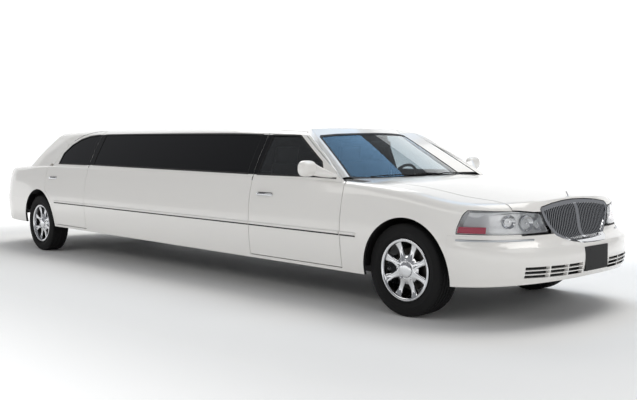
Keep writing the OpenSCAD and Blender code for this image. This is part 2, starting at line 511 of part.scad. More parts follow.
// ---- doors ----
hinge_zs = [430, 760];                       // level heights of the hinges' lower faces
hinge_h = 56;
module hinge_pocket(d0) for (z = hinge_zs) translate([d0 - hinge_back, hinge_y, z + rake * (xf - d0) - 2]) {
    cylinder(r = 17, h = hinge_h + 4);
    linear_extrude(hinge_h + 4) polygon([[0, -10], [300, 20], [300, 300], [-26, 300], [-26, 0]]);
    translate([0, 0, -24]) cylinder(r = pin_r + fit, h = hinge_h + 52);
}
module hinge(d0) for (z = hinge_zs) translate([d0 - hinge_back, hinge_y, z + rake * (xf - d0)]) {
    cylinder(r = 13, h = hinge_h);
    translate([0, 0, -20]) cylinder(r = pin_r, h = hinge_h + 40);
    translate([-8, 0, 0]) cube([16, door_t - hinge_in + 24, hinge_h]);
    translate([-8, door_t - hinge_in + 12, 0]) cube([8 + hinge_back + 28 - fit, 12, hinge_h]);
}
module door_panel(d0, frame, window) skin() difference() {
    union() {
        intersection() { lower_body(); door_low(d0, 0) children(); }
        intersection() { upper_shell(); door_high(frame, 0); block([-length, -1100, 0], [length, -350, 1600]); }
    }
    slanted(120) polygon(window);
    hinge_pocket(d0);
}
module front_door(side) on_side(side) color(paint) door_panel(fd0, front_frame, front_window) front_low();
module rear_door(side) on_side(side) color(paint) door_panel(rd0, rear_frame, rear_window_side) rear_low();
module door_glass(side, window) on_side(side) color(dark) skin() intersection() {
    difference() { tube(6); tube(6 + glass_t); }
    slanted(120) offset(delta = -seam) polygon(window);
}
module front_door_right() front_door(-1);
module front_door_left() front_door(1);
module rear_door_right() rear_door(-1);
module rear_door_left() rear_door(1);
module front_door_glass_right() door_glass(-1, front_window);
module front_door_glass_left() door_glass(1, front_window);
module rear_door_glass_right() door_glass(-1, rear_window_side);
module rear_door_glass_left() door_glass(1, rear_window_side);
module mirror_outline(d) translate([-1075, 1078]) offset(r = d) offset(r = 52) square([76, 30], center = true);
module door_mirror(side) on_side(side) color(paint) skin() {
    along(fd0 - 300, fd0 - 230) mirror_outline(0);
    along(fd0 - 230, fd0 - 205) mirror_outline(-16);
    difference() {
        body_space() block([fd0 - 290, -1030, 1012], [fd0 - 215, -880, 1050]);
        tube(-0.3);
    }
}
module door_mirror_right() door_mirror(-1);
module door_mirror_left() door_mirror(1);

// ---- glass and lamps ----
// Room for the windshield in the panels below it
module screen_cut() intersection() {
    difference() { glass_bound(4 - seam); glass_bound(4 + glass_t + seam); }
    along(xf - 1500, xf) screen_zone(seam);
}
module windshield() color([0.4, 0.5, 0.55]) skin() intersection() {
    difference() { glass_bound(4); glass_bound(4 + glass_t); }
    tube(6, 6);
    along(xf - 1500, xf) screen_zone();
}
module rear_window() color(dark) skin() intersection() {
    difference() { glass_bound(4); glass_bound(4 + glass_t); }
    tube(6, 6);
    along(xr - 1000, xr + 200) back_zone();
}
module headlamps() color([0.85, 0.87, 0.9]) skin() difference() {
    intersection() { shell(60); both_sides() lamp_zone(); }
    front_low_zone(seam);
    along(xf + 600, xf + 1100) grille_zone(seam);
}
module tail_lamps() color([0.6, 0.05, 0.05]) skin() difference() {
    intersection() { shell(50); both_sides() tail_zone(); }
    rear_low_zone(seam);
    lid_zone(shut_gap);
}
module grille() color(metal) skin() intersection() {
    shell(44);
    union() {
        along(xf + 600, xf + 1100) difference() { grille_zone(); grille_zone(-20); }
        along(xf + 600, xf + 1100) intersection() {
            grille_zone(-10);
            for (i = [-4:4]) translate([i * 88 - (i == 0 ? 14 : 5), 500]) square([i == 0 ? 28 : 10, 400]);
        }
    }
}

// ---- chassis ----
rail_y = 405;
rail_w = 70;
rail_z = 206;
rail_h = 100;
kick_z = 470;                                // underside of the rails over the rear axle
module rail() rotate([90, 0, 0]) linear_extrude(rail_w) polygon([
    [xf + 900, rail_z + 130], [xf + 900, rail_z + rail_h + 110], [xf + 420, rail_z + rail_h + 110], [xf + 340, rail_z + rail_h],
    [xr + 560, rail_z + rail_h], [xr + 340, kick_z + 80], [xr - 340, kick_z + 80], [xr - 520, rail_z + rail_h + 50],
    [xr - 1300, rail_z + rail_h + 50], [xr - 1300, rail_z + 84], [xr - 480, rail_z + 84], [xr - 300, kick_z], [xr + 300, kick_z],
    [xr + 520, rail_z], [xf + 300, rail_z], [xf + 400, rail_z + 130]]);
module chassis_frame() color(dark) body_space() {
    both_sides() translate([0, -rail_y, 0]) rail();
    for (x = [xf - 900, xf - 2100, xf - 3300, xf - 4300, xr + 700]) block([x - 40, -rail_y, rail_z], [x + 40, rail_y, rail_z + 30]);
    for (c = [[xf + 700, 60, 135, 200], [xf - 60, 60, 0, 54], [xr - 280, 40, kick_z - rail_z + 10, kick_z - rail_z + 70],
              [xr - 1200, 40, 80, 140]])
        block([c[0] - c[1], -rail_y, rail_z + c[2]], [c[0] + c[1], rail_y, rail_z + c[3]]);
    both_sides() block([xf + 900, -rail_y - rail_w, rail_z + 140], [xf + 925, -rail_y, rail_z + 200]);
    both_sides() block([xr - 1335, -rail_y - rail_w, rail_z + 130], [xr - 1300, -rail_y, rail_z + 150]);
}
tunnel = 110;
module floor_pan() color([0.2, 0.2, 0.21]) body_space() {
    y = door_y - 10;                         // clear of the doors as they swing
    z = floor_z - floor_t;
    difference() {
        block([xr + 560, -y, z], [xf - 548, y, floor_z]);
        block([xr + 500, -tunnel, 0], [xf, tunnel, floor_z + 1]);
    }
    difference() {
        block([xr + 560, -tunnel - 14, z + 8], [xf - 548, tunnel + 14, floor_z + 80]);
        block([xr + 500, -tunnel, 0], [xf, tunnel, floor_z + 66]);
    }
    difference() {
        block([xf - 572, -y, floor_z], [xf - 548, y, 955]);
        block([xf - 600, -tunnel - 14, 0], [xf - 500, tunnel + 14, floor_z + 80]);
        both_sides() block([xf - 600, -900, 900], [xf - 500, -640, 1000]);
    }
    both_sides() block([xr + 560, -door_y + 5 + seam, z - 20], [xf - 600, -840, z]);
    difference() {
        union() {
            block([xr + 560, -690, floor_z], [xr + 584, 690, 590]);
            block([xr - 480, -690, 566], [xr + 560, 690, 590]);
            block([xr - 480, -690, 380], [xr - 456, 690, 566]);
            block([xr - 1200, -600, 356], [xr - 456, 600, 380]);
        }
        both_sides() block([xr - 560, -rail_y - rail_w - seam, 300], [xr - 400, -rail_y + seam, 500]);
        block([xr + 500, -tunnel, 300], [xr + 600, tunnel, floor_z + 66]);
    }
}
// Half drum over the wheel opening a, closed on its inner side and reaching back further to the rear.
module liner(a, back, y0, y1) translate([a[0] - back / 2, -y0, a[1]]) rotate([90, 0, 0]) difference() {
    cylinder(r = a[2] + 24 + back / 2, h = y1 - y0);
    translate([0, 0, 12]) cylinder(r = a[2] + 12 + back / 2, h = y1 - y0);
    translate([-600, -900, -1]) cube([1200, 905, 600]);
}
module wheelhouse_liners() color(dark) both_sides() difference() {
    union() {
        liner(arch_front, 26, rail_y + rail_w + seam, 900);
        liner(arch_rear, 0, 690.4, 860);
    }
    block([xf - 76, -560, 0], [xf + 76, -470, 700]);
    translate([xr, -680, hub_z]) rotate([90, 0, 0]) cylinder(r = 60, h = 40);
}
module front_suspension() color(metal) both_sides() {
    y = front_track - king_offset;
    for (s = [-1, 1]) {
        translate([xf - 30, -y - 26, hub_z + s * 112 - 9]) cube([60, y + 26 - rail_y - rail_w, 18]);
        translate([xf, -y, hub_z + (s < 0 ? -104 : 80)]) cylinder(r = 11, h = 24);
    }
    translate([xf - 60, -rail_y - rail_w - 60, hub_z - 130]) cube([120, 60, 280]);
    translate([xf, -rail_y - rail_w - 30, hub_z + 150]) cylinder(r = 42, h = 190);
}
module rear_axle() color(metal) {
    rotate([90, 0, 0]) translate([xr, hub_z, -690]) cylinder(r = 42, h = 1380);
    translate([xr, 0, hub_z]) scale([1.1, 1, 1]) sphere(118, $fn = 40);
    both_sides() {
        translate([xr, -690, hub_z]) rotate([90, 0, 0]) cylinder(r = hub_bore_r - fit, h = rear_track - 690 + 72);
        translate([xr, -rail_y - rail_w / 2, hub_z + 36]) cylinder(r = 48, h = raked([xr, 0, kick_z])[2] - hub_z - 36 - 0.8);
    }
}
module knuckle(side) on_side(side) color(metal) {
    y = front_track - king_offset;
    difference() {
        union() {
            translate([xf, -y, hub_z - 96]) cylinder(r = 27, h = 192);
            translate([xf, -y + 12, hub_z]) rotate([90, 0, 0]) cylinder(r = 50, h = 44);
        }
        for (z = [-105, 72]) translate([xf, -y, hub_z + z]) cylinder(r = 11 + fit, h = 33);
    }
    translate([xf, -y, hub_z]) rotate([90, 0, 0]) cylinder(r = hub_bore_r - fit, h = king_offset + 72);
}
module knuckle_right() knuckle(-1);
module knuckle_left() knuckle(1);

// ---- wheels ----
module tyre(x, y) color(dark) translate([x, y, hub_z]) rotate([y > 0 ? -90 : 90, 0, 0]) rotate_extrude($fn = 96) {
    w = tyre_w / 2;
    b = rim_w / 2 - 13;                      // tyre bead, inside the rim's flanges
    polygon([[rim_r - 10, -b], [rim_r + 8, -b - 2], [rim_r + 36, -w + 4], [rim_r + 62, -w], [tyre_r - 22, -w + 6],
             [tyre_r - 6, -w + 16], [tyre_r, -w + 34], [tyre_r, w - 34], [tyre_r - 6, w - 16], [tyre_r - 22, w - 6],
             [rim_r + 62, w], [rim_r + 36, w - 4], [rim_r + 8, b + 2], [rim_r - 10, b]]);
}
spokes = 8;
module wheel(x, y) color(metal) translate([x, y, hub_z]) rotate([y > 0 ? -90 : 90, 0, 0]) {
    w = rim_w / 2;
    rotate_extrude($fn = 96) polygon([[rim_r - 22, -w], [rim_r, -w], [rim_r, -w + 8], [rim_r - 10 - seam, -w + 12],
        [rim_r - 10 - seam, w - 12], [rim_r, w - 8], [rim_r, w], [rim_r - 22, w]]);
    difference() {
        union() {
            translate([0, 0, w - 48]) cylinder(r = 68, h = 36);
            translate([0, 0, -12]) cylinder(r = 52, h = w - 30);
            for (i = [0:spokes - 1]) rotate([0, 0, (i + 0.5) * 360 / spokes]) translate([40, -21, w - 42]) cube([rim_r - 56, 42, 24]);
        }
        translate([0, 0, -20]) cylinder(r = hub_bore_r, h = 96);
    }
}
module tyre_front_right() tyre(xf, -front_track);
module tyre_front_left() tyre(xf, front_track);
module tyre_rear_right() tyre(xr, -rear_track);
module tyre_rear_left() tyre(xr, rear_track);
module wheel_front_right() wheel(xf, -front_track);
module wheel_front_left() wheel(xf, front_track);
module wheel_rear_right() wheel(xr, -rear_track);
module wheel_rear_left() wheel(xr, rear_track);

// ---- machinery ----
shaft_z = 322;
module engine_block() color([0.3, 0.3, 0.32]) body_space() {
    block([xf - 330, -270, 300], [xf + 380, 270, 850]);
    translate([xf - 330, 0, shaft_z]) rotate([0, -90, 0]) cylinder(r = 90, h = 190);
    block([xf - 110, -330, 261], [xf - 10, 330, 300]);
}
module radiator() color([0.15, 0.15, 0.16]) body_space() block([xf + 660, -340, rail_z + 200], [xf + 720, 340, 800]);
module driveshaft() color(metal) body_space()
    translate([xf - 520, 0, shaft_z]) rotate([0, -90, 0]) cylinder(r = 38, h = xf - 520 - xr - 132);
exhaust_z = 269.7;
module exhaust_system() color(metal) body_space() both_sides() {
    translate([xf - 700, -300, exhaust_z]) rotate([0, -90, 0]) cylinder(r = 28, h = wheelbase - 1300);
    translate([xf - 2300, -300, exhaust_z]) rotate([0, -90, 0]) scale([0.6, 1, 1]) cylinder(r = 60, h = 560);
}
module fuel_tank() color([0.12, 0.12, 0.12]) body_space() block([xr - 1120, -380, 216], [xr - 560, 380, 356]);

// ---- cabin ----
leather = [0.12, 0.11, 0.11];
module dashboard() color([0.14, 0.14, 0.15]) body_space() difference() {
    translate([0, 800, 0]) rotate([90, 0, 0]) linear_extrude(1600) polygon([
        [xf - 780, 640], [xf - 572.4, 720], [xf - 572.4, 860], [xf - 780, 915], [xf - 860, 955], [xf - 1040, 950], [xf - 1090, 915], [xf - 1080, 860], [xf - 1000, 640]]);
    steering_column(24 + fit, 152);
}
module steering_column(r, depth) translate(wheel_at) rotate([0, -65, 0]) translate([0, 0, -depth]) cylinder(r = r, h = depth);
wheel_at = [xf - 1150, 380, 905];
module steering_wheel() color(dark) body_space() translate(wheel_at) rotate([0, -65, 0]) {
    rotate_extrude($fn = 64) translate([182, 0]) circle(13, $fn = 20);
    for (a = [90, 210, 330]) rotate([0, 0, a]) translate([0, -14, -10]) cube([180, 28, 14]);
    translate([0, 0, -22]) cylinder(r = 62, h = 30);
    translate([0, 0, -150]) cylinder(r = 24, h = 140);
}
module front_seats() color(leather) body_space() for (s = [-1, 1]) {
    y0 = s < 0 ? -790 : 40;
    hull() { block([xf - 1860, y0, 500], [xf - 1400, y0 + 750, 640]); block([xf - 1840, y0 + 30, 500], [xf - 1380, y0 + 720, 610]); }
    block([xf - 1820, y0 + (s < 0 ? 60 : tunnel - 20), floor_z], [xf - 1450, y0 + (s < 0 ? 770 - tunnel : 690), 500]);
    translate([xf - 1862, y0 + 20, 560]) rotate([0, -12, 0]) cube([120, 710, 560]);
}
module partition() color([0.1, 0.1, 0.1]) body_space() difference() {
    block([xf - 2180, -door_y + 20, floor_z], [xf - 2150, door_y - 20, 940]);
    block([xf - 2200, -tunnel - 14 - seam, 0], [xf - 2100, tunnel + 14 + seam, floor_z + 80 + seam]);
}
module lounge_seats() color(leather) body_space() {
    block([xr + 1500, 330, floor_z], [xf - 2400, 790, 600]);
    block([xr + 1500, 792, floor_z], [xf - 2400, door_y - 12, 960]);
    block([xr - 30, -660, 590.3], [xr + 440, 660, 730]);
    translate([xr - 60, -660, 600]) rotate([0, -20, 0]) cube([130, 1320, 480]);
}
module bar_cabinet() color([0.1, 0.08, 0.07]) body_space() block([xf - 4300, -door_y + 12, floor_z], [xf - 2500, -560, 900]);

// Hinge pillars with the fixed halves of the hinges.
module hinge_brackets() color(metal) {
    both_sides() {
        hinge(fd0);
        hinge(rd0);
        body_space() {
            block([rd0 + 22, -door_y + 0.3, 400], [rd0 + 70, -door_y + 30, 880]);
            translate([0, -738, 0]) rotate([90, 0, 0]) linear_extrude(12) polygon([
                hood_pin + [-14, 14], hood_pin + [17, 14], hood_pin + [42, -5], [xf - 548, 945], [xf - 548, 900.3],
                [xf - 700, 900.3], hood_pin + [-14, -20]]);
            block([lid_pin[0] - 16, -652, lid_pin[1] - 14], [lid_pin[0] + 16, -641, top_z(lid_pin[0] - 16, 652) - skin_t - 1.9]);
        }
    }
    hood_pins(pin_r);
    lid_pins(pin_r);
}

chassis_frame();
floor_pan();
body_side_panels();
quarter_panels();
roof_panel();
cowl_panel();
front_fenders();
front_bumper();
rear_bumper();
grille();
headlamps();
tail_lamps();
windshield();
privacy_glass();
engine_block();
fuel_tank();
exhaust_system();
rear_axle();
front_suspension();
driveshaft();
dashboard();
steering_wheel();
front_seats();
partition();
lounge_seats();
hinge_brackets();
radiator();
wheelhouse_liners();
bar_cabinet();
rear_window();
plate_bracket();
hood();
trunk_lid();
front_door_right();
front_door_left();
rear_door_right();
rear_door_left();
front_door_glass_right();
front_door_glass_left();
rear_door_glass_right();
rear_door_glass_left();
door_mirror_right();
door_mirror_left();
knuckle_right();
knuckle_left();
tyre_front_right();
tyre_front_left();
tyre_rear_right();
tyre_rear_left();
wheel_front_right();
wheel_front_left();
wheel_rear_right();
wheel_rear_left();
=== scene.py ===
"""A white stretched six-window limousine, parked in a pale studio. Metres, +X to the front, +Y to the left, +Z up."""
import json
import math

import bmesh
import bpy
import numpy as np
from mathutils import Matrix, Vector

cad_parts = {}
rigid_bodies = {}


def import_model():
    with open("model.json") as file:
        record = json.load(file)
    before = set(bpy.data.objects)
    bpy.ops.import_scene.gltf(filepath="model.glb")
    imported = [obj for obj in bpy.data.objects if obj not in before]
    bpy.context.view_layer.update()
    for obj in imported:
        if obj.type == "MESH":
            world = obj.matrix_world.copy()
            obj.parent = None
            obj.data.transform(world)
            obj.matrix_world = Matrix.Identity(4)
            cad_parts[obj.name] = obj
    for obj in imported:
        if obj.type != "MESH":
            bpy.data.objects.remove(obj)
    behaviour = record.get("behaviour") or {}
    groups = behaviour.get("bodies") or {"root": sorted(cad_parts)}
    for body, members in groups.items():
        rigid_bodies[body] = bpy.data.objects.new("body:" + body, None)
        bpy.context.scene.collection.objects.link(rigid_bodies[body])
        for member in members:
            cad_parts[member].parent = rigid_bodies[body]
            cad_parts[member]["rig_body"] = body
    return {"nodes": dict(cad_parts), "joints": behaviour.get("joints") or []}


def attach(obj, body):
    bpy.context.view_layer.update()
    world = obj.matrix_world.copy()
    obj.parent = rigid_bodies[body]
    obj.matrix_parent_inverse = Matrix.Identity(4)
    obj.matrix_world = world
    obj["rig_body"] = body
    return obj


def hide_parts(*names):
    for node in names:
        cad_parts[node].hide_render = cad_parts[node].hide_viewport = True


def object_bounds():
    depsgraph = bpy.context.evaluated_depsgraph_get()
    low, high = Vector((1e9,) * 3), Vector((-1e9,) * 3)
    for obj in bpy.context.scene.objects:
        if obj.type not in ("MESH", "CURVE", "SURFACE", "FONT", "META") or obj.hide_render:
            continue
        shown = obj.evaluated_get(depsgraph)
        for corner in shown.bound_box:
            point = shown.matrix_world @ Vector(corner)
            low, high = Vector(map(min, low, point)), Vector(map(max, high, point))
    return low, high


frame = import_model()
cad_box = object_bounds()

# ---- driving dimensions, in millimetres, from the frame and its joints ----
joint_at = {j["name"]: np.array(j["pos_m"]) * 1000 for j in frame["joints"]}
FRONT_AXLE = joint_at["steering_right"][0]
REAR_AXLE = joint_at["rear_wheel_right_spin"][0]
FRONT_TRACK = abs(joint_at["front_wheel_right_spin"][1])
REAR_TRACK = abs(joint_at["rear_wheel_right_spin"][1])
HUB_Z = joint_at["steering_right"][2]
TYRE_R = HUB_Z
FRONT_END = 1000 * cad_box[1][0] - FRONT_AXLE
REAR_END = REAR_AXLE - 1000 * cad_box[0][0]
HALF_WIDTH = 985.0
ROOF_TOP = 1471.4
RAKE = 0.010
BELT = 992.0
TUMBLE = 0.50
SILL = 280.0
DOOR_BASE = 312.0
DOOR_T = 110.0
GAP = 6.0
SEAM = 0.4
DOOR_Y = HALF_WIDTH - DOOR_T
HINGE_Y = abs(joint_at["front_door_right_hinge"][1])
HINGE_BACK = 55.0
DOOR0 = joint_at["front_door_right_hinge"][0] + HINGE_BACK
DOOR1 = DOOR0 - 1137.0
BACK0 = joint_at["rear_door_right_hinge"][0] + HINGE_BACK
BACK1 = REAR_AXLE + 238.0
LID_FRONT = REAR_AXLE - 600.0
XF, XR = FRONT_AXLE, REAR_AXLE


# ---- curves and small array helpers ----
def curve(keys, x):
    """Smooth curve through the key points: cubic pieces that take the mean slope at each point."""
    k = np.array(keys, float)
    xs, ys = k[:, 0], k[:, 1]
    left = np.maximum(np.arange(len(xs)) - 1, 0)
    right = np.minimum(np.arange(len(xs)) + 1, len(xs) - 1)
    slope = (ys[right] - ys[left]) / (xs[right] - xs[left])
    x = np.clip(np.asarray(x, float), xs[0], xs[-1])
    i = np.clip(np.searchsorted(xs, x, "right") - 1, 0, len(xs) - 2)
    h = xs[i + 1] - xs[i]
    t = (x - xs[i]) / h
    return (ys[i] * (2 * t**3 - 3 * t**2 + 1) + slope[i] * h * (t**3 - 2 * t**2 + t)
            + ys[i + 1] * (3 * t**2 - 2 * t**3) + slope[i + 1] * h * (t**3 - t**2))


def raised(points):
    """Level points lifted by the rake, which grows towards the tail."""
    p = np.array(points, float)
    p[..., 2] += RAKE * (XF - p[..., 0])
    return p


def grid_faces(rows, cols, closed=False):
    """Quads of a grid of rows by cols points; a closed grid joins its last column to its first."""
    r = np.arange(rows - 1)[:, None] * cols
    c = np.arange(cols if closed else cols - 1)[None, :]
    n = (c + 1) % cols
    return np.stack([r + c, r + n, r + cols + n, r + cols + c], -1).reshape(-1, 4)


def mesh_object(name, points, faces, ngons=()):
    """New mesh object from points in millimetres; its place is in its mesh."""
    mesh = bpy.data.meshes.new(name)
    mesh.from_pydata((np.asarray(points, float).reshape(-1, 3) / 1000).tolist(), [],
                     np.asarray(faces, int).tolist() + [list(map(int, f)) for f in ngons])
    mesh.validate()
    obj = bpy.data.objects.new(name, mesh)
    bpy.context.scene.collection.objects.link(obj)
    return obj


def outward(obj):
    """Merges doubles and points every face outwards."""
    bm = bmesh.new()
    bm.from_mesh(obj.data)
    bmesh.ops.remove_doubles(bm, verts=bm.verts, dist=1e-6)
    bmesh.ops.recalc_face_normals(bm, faces=bm.faces)
    bm.to_mesh(obj.data)
    bm.free()
    return obj


def mirrored(obj, name):
    """Copy of a piece on the other side of the car's middle plane."""
    twin = bpy.data.objects.new(name, obj.data.copy())
    bpy.context.scene.collection.objects.link(twin)
    twin.data.transform(Matrix.Diagonal((1, -1, 1, 1)))
    twin.data.flip_normals()
    return twin


def joined(name, parts):
    """One object from several, whose materials stay with their faces."""
    mesh = bpy.data.meshes.new(name)
    bm = bmesh.new()
    for part in parts:
        shift = len(mesh.materials)
        for m in part.data.materials or [None]:
            mesh.materials.append(m)
        before = len(bm.faces)
        bm.from_mesh(part.data)
        bm.faces.ensure_lookup_table()
        for f in bm.faces[before:]:
            f.material_index += shift
        bpy.data.objects.remove(part)
    bm.to_mesh(mesh)
    bm.free()
    obj = bpy.data.objects.new(name, mesh)
    bpy.context.scene.collection.objects.link(obj)
    return obj


def carved(obj, *steps):
    """Applies boolean steps to obj, each ("-", "*" or "+", cutter)."""
    signs = {"-": "DIFFERENCE", "*": "INTERSECT", "+": "UNION"}
    for sign, cutter in steps:
        m = obj.modifiers.new("cut", "BOOLEAN")
        m.operation = signs[sign]
        m.solver = "MANIFOLD"
        m.object = cutter
    graph = bpy.context.evaluated_depsgraph_get()
    mesh = bpy.data.meshes.new_from_object(obj.evaluated_get(graph))
    obj.modifiers.clear()
    obj.data = mesh
    return obj


def copy_of(obj, name):
    twin = bpy.data.objects.new(name, obj.data.copy())
    bpy.context.scene.collection.objects.link(twin)
    return twin


# ---- outlines ----
def grown(points, g):
    """Polygon with each side moved outwards by g; the corners stay sharp."""
    p = np.array(points, float)
    e = np.roll(p, -1, 0) - p
    if np.sum(p[:, 0] * np.roll(p[:, 1], -1) - np.roll(p[:, 0], -1) * p[:, 1]) < 0:
        g = -g
    n = np.stack([e[:, 1], -e[:, 0]], 1) / np.linalg.norm(e, axis=1)[:, None]
    m = n + np.roll(n, 1, 0)
    m /= np.maximum(np.sum(m * n, 1), 0.35)[:, None]
    return p + g * m


def softened(points, r, steps=6):
    """Polygon whose corners are replaced by quadratic curves that start up to r before each corner."""
    p = np.array(points, float)
    back, ahead = np.roll(p, 1, 0) - p, np.roll(p, -1, 0) - p
    lb, la = np.linalg.norm(back, axis=1), np.linalg.norm(ahead, axis=1)
    a = p + back * (np.minimum(r, 0.45 * lb) / lb)[:, None]
    b = p + ahead * (np.minimum(r, 0.45 * la) / la)[:, None]
    t = np.linspace(0, 1, steps)[None, :, None]
    q = a[:, None] * (1 - t)**2 + p[:, None] * 2 * t * (1 - t) + b[:, None] * t**2
    return q.reshape(-1, 2)


def prism(points, place_near, place_far, name="cutter"):
    """Closed prism between two placements of the same outline."""
    p = np.array(points, float)
    n = len(p)
    both = np.concatenate([place_near(p), place_far(p)])
    i = np.arange(n)
    j = (i + 1) % n
    sides = np.stack([i, j, j + n, i + n], 1)
    return outward(mesh_object(name, both, sides, [i[::-1], i + n]))


def across(points, near, far, lean=0.0, k=0.0, y0=0.0):
    """Side-view outline carried from y = -near to y = -far, leaning forward and inwards."""
    def at(depth):
        def put(p):
            y = -depth + k * (p[:, 1] - BELT)
            return raised(np.stack([p[:, 0] + lean * (y0 - depth), y, p[:, 1]], 1))
        return put
    return prism(points, at(near), at(far))


def along(points, x0, x1):
    """Front-view outline [y, z] carried along X."""
    return prism(points, lambda p: raised(np.stack([0 * p[:, 0] + x0, p[:, 0], p[:, 1]], 1)),
                 lambda p: raised(np.stack([0 * p[:, 0] + x1, p[:, 0], p[:, 1]], 1)))


def upright(points, z0, z1):
    """Outline seen from above, carried up from z0 to z1."""
    return prism(points, lambda p: raised(np.stack([p[:, 0], p[:, 1], 0 * p[:, 0] + z0], 1)),
                 lambda p: raised(np.stack([p[:, 0], p[:, 1], 0 * p[:, 0] + z1], 1)))


def block(lo, hi):
    x0, y0, z0 = lo
    x1, y1, z1 = hi
    return upright([[x0, y0], [x1, y0], [x1, y1], [x0, y1]], z0, z1)


def both_sides(cutter):
    """The right-hand cutter and its twin on the left, as one object."""
    return joined("cutter", [mirrored(cutter, "twin"), copy_of(cutter, "same")])


def cylinder_y(x, z, r, y0, y1, sides=160):
    a = np.linspace(0, 2 * np.pi, sides, endpoint=False)
    ring = np.stack([x + r * np.cos(a), z + r * np.sin(a)], 1)
    return prism(ring, lambda p: np.stack([p[:, 0], 0 * p[:, 0] + y0, p[:, 1]], 1),
                 lambda p: np.stack([p[:, 0], 0 * p[:, 0] + y1, p[:, 1]], 1))


# ---- lower body: an outline seen from above, with a section at each point of it ----
NOSE_X, NOSE_LEN, NOSE_N = XF + 300, FRONT_END - 300, 2.6
TAIL_X, TAIL_LEN, TAIL_N = XR - 690, REAR_END - 690.5, 2.5
WIDTH = [[TAIL_X, HALF_WIDTH - 27], [XR, HALF_WIDTH - 4], [XR + 700, HALF_WIDTH], [XF - 900, HALF_WIDTH],
         [XF, HALF_WIDTH - 2], [NOSE_X, HALF_WIDTH - 8]]
TOP = [[XR - 1400, 880], [XR - 1290, 945], [XR - 1150, 975], [XR - 950, 992], [XR - 560, 1012], [XR + 300, 1024],
       [XF - 1400, 1004], [XF - 500, 1000], [XF, 990], [XF + 280, 965], [XF + 560, 928], [XF + 760, 893],
       [XF + 870, 866], [XF + 1000, 820]]
CROWN = [[XR - 1300, 40], [XR - 600, 34], [XR, 22], [XR + 500, 14], [XF - 1300, 12], [XF - 700, 26], [XF, 62],
         [XF + 500, 104], [XF + 900, 96]]
ROUND = [[XR - 1300, 60], [XR - 500, 52], [XR, 30], [XR + 400, 22], [XF - 1000, 22], [XF - 500, 40], [XF, 66],
         [XF + 600, 60], [XF + 900, 40]]
SIDE_WALL = [[200, 42], [280, 24], [400, 9], [560, 0], [650, 1], [760, 9], [860, 24], [940, 44], [1040, 72]]
NOSE_WALL = [[200, 90], [325, 42], [360, 16], [450, 0], [530, 4], [572, 22], [600, 96], [640, 128], [760, 150],
             [880, 172]]
TAIL_WALL = [[200, 80], [300, 30], [350, 8], [470, 0], [590, 6], [628, 30], [660, 52], [777, 66], [860, 96],
             [940, 130]]


def wall_inset(p, z):
    """How far the wall lies inside the outline at height z, blended between side, nose and tail walls."""
    side, nose, tail = curve(SIDE_WALL, z), curve(NOSE_WALL, z), curve(TAIL_WALL, z)
    w = side + (nose - side) * p[2]
    return w + (tail - w) * p[3]


def top_z(x, y):
    return curve(TOP, x) - curve(CROWN, x) * (np.abs(y) / HALF_WIDTH)**2.4


def toward(p, d):
    """The point d inside outline point p, on its line to the middle of the car."""
    px = np.clip(p[0], TAIL_X, NOSE_X)
    reach = np.hypot(p[0] - px, p[1])
    return p[0] + (px - p[0]) * d / reach, p[1] * (1 - d / reach)


def body_outline(nose, side, tail):
    """Half outline from the nose's tip to the tail's tip, as x, y, share of nose shape, share of tail shape."""
    def fan(a, x0, length, n, w):
        c, s = np.cos(a), np.sin(a)
        return x0 + length * np.maximum(c, 0)**(2 / n), w * np.maximum(s, 0)**(2 / n), np.maximum(c, 0)**1.2
    a = np.linspace(0, 1, nose, endpoint=False) * np.pi / 2
    nx, ny, ns = fan(a, NOSE_X, NOSE_LEN, NOSE_N, HALF_WIDTH - 8)
    sx = np.linspace(NOSE_X, TAIL_X, side)
    b = np.linspace(1, 0, tail + 1)[1:] * np.pi / 2
    tx, ty, ts = fan(b, TAIL_X, -TAIL_LEN, TAIL_N, HALF_WIDTH - 27)
    zero = np.zeros
    return np.stack([np.r_[nx, sx, tx], np.r_[ny, curve(WIDTH, sx), ty],
                     np.r_[ns, zero(side + tail)], np.r_[zero(nose + side), ts]])


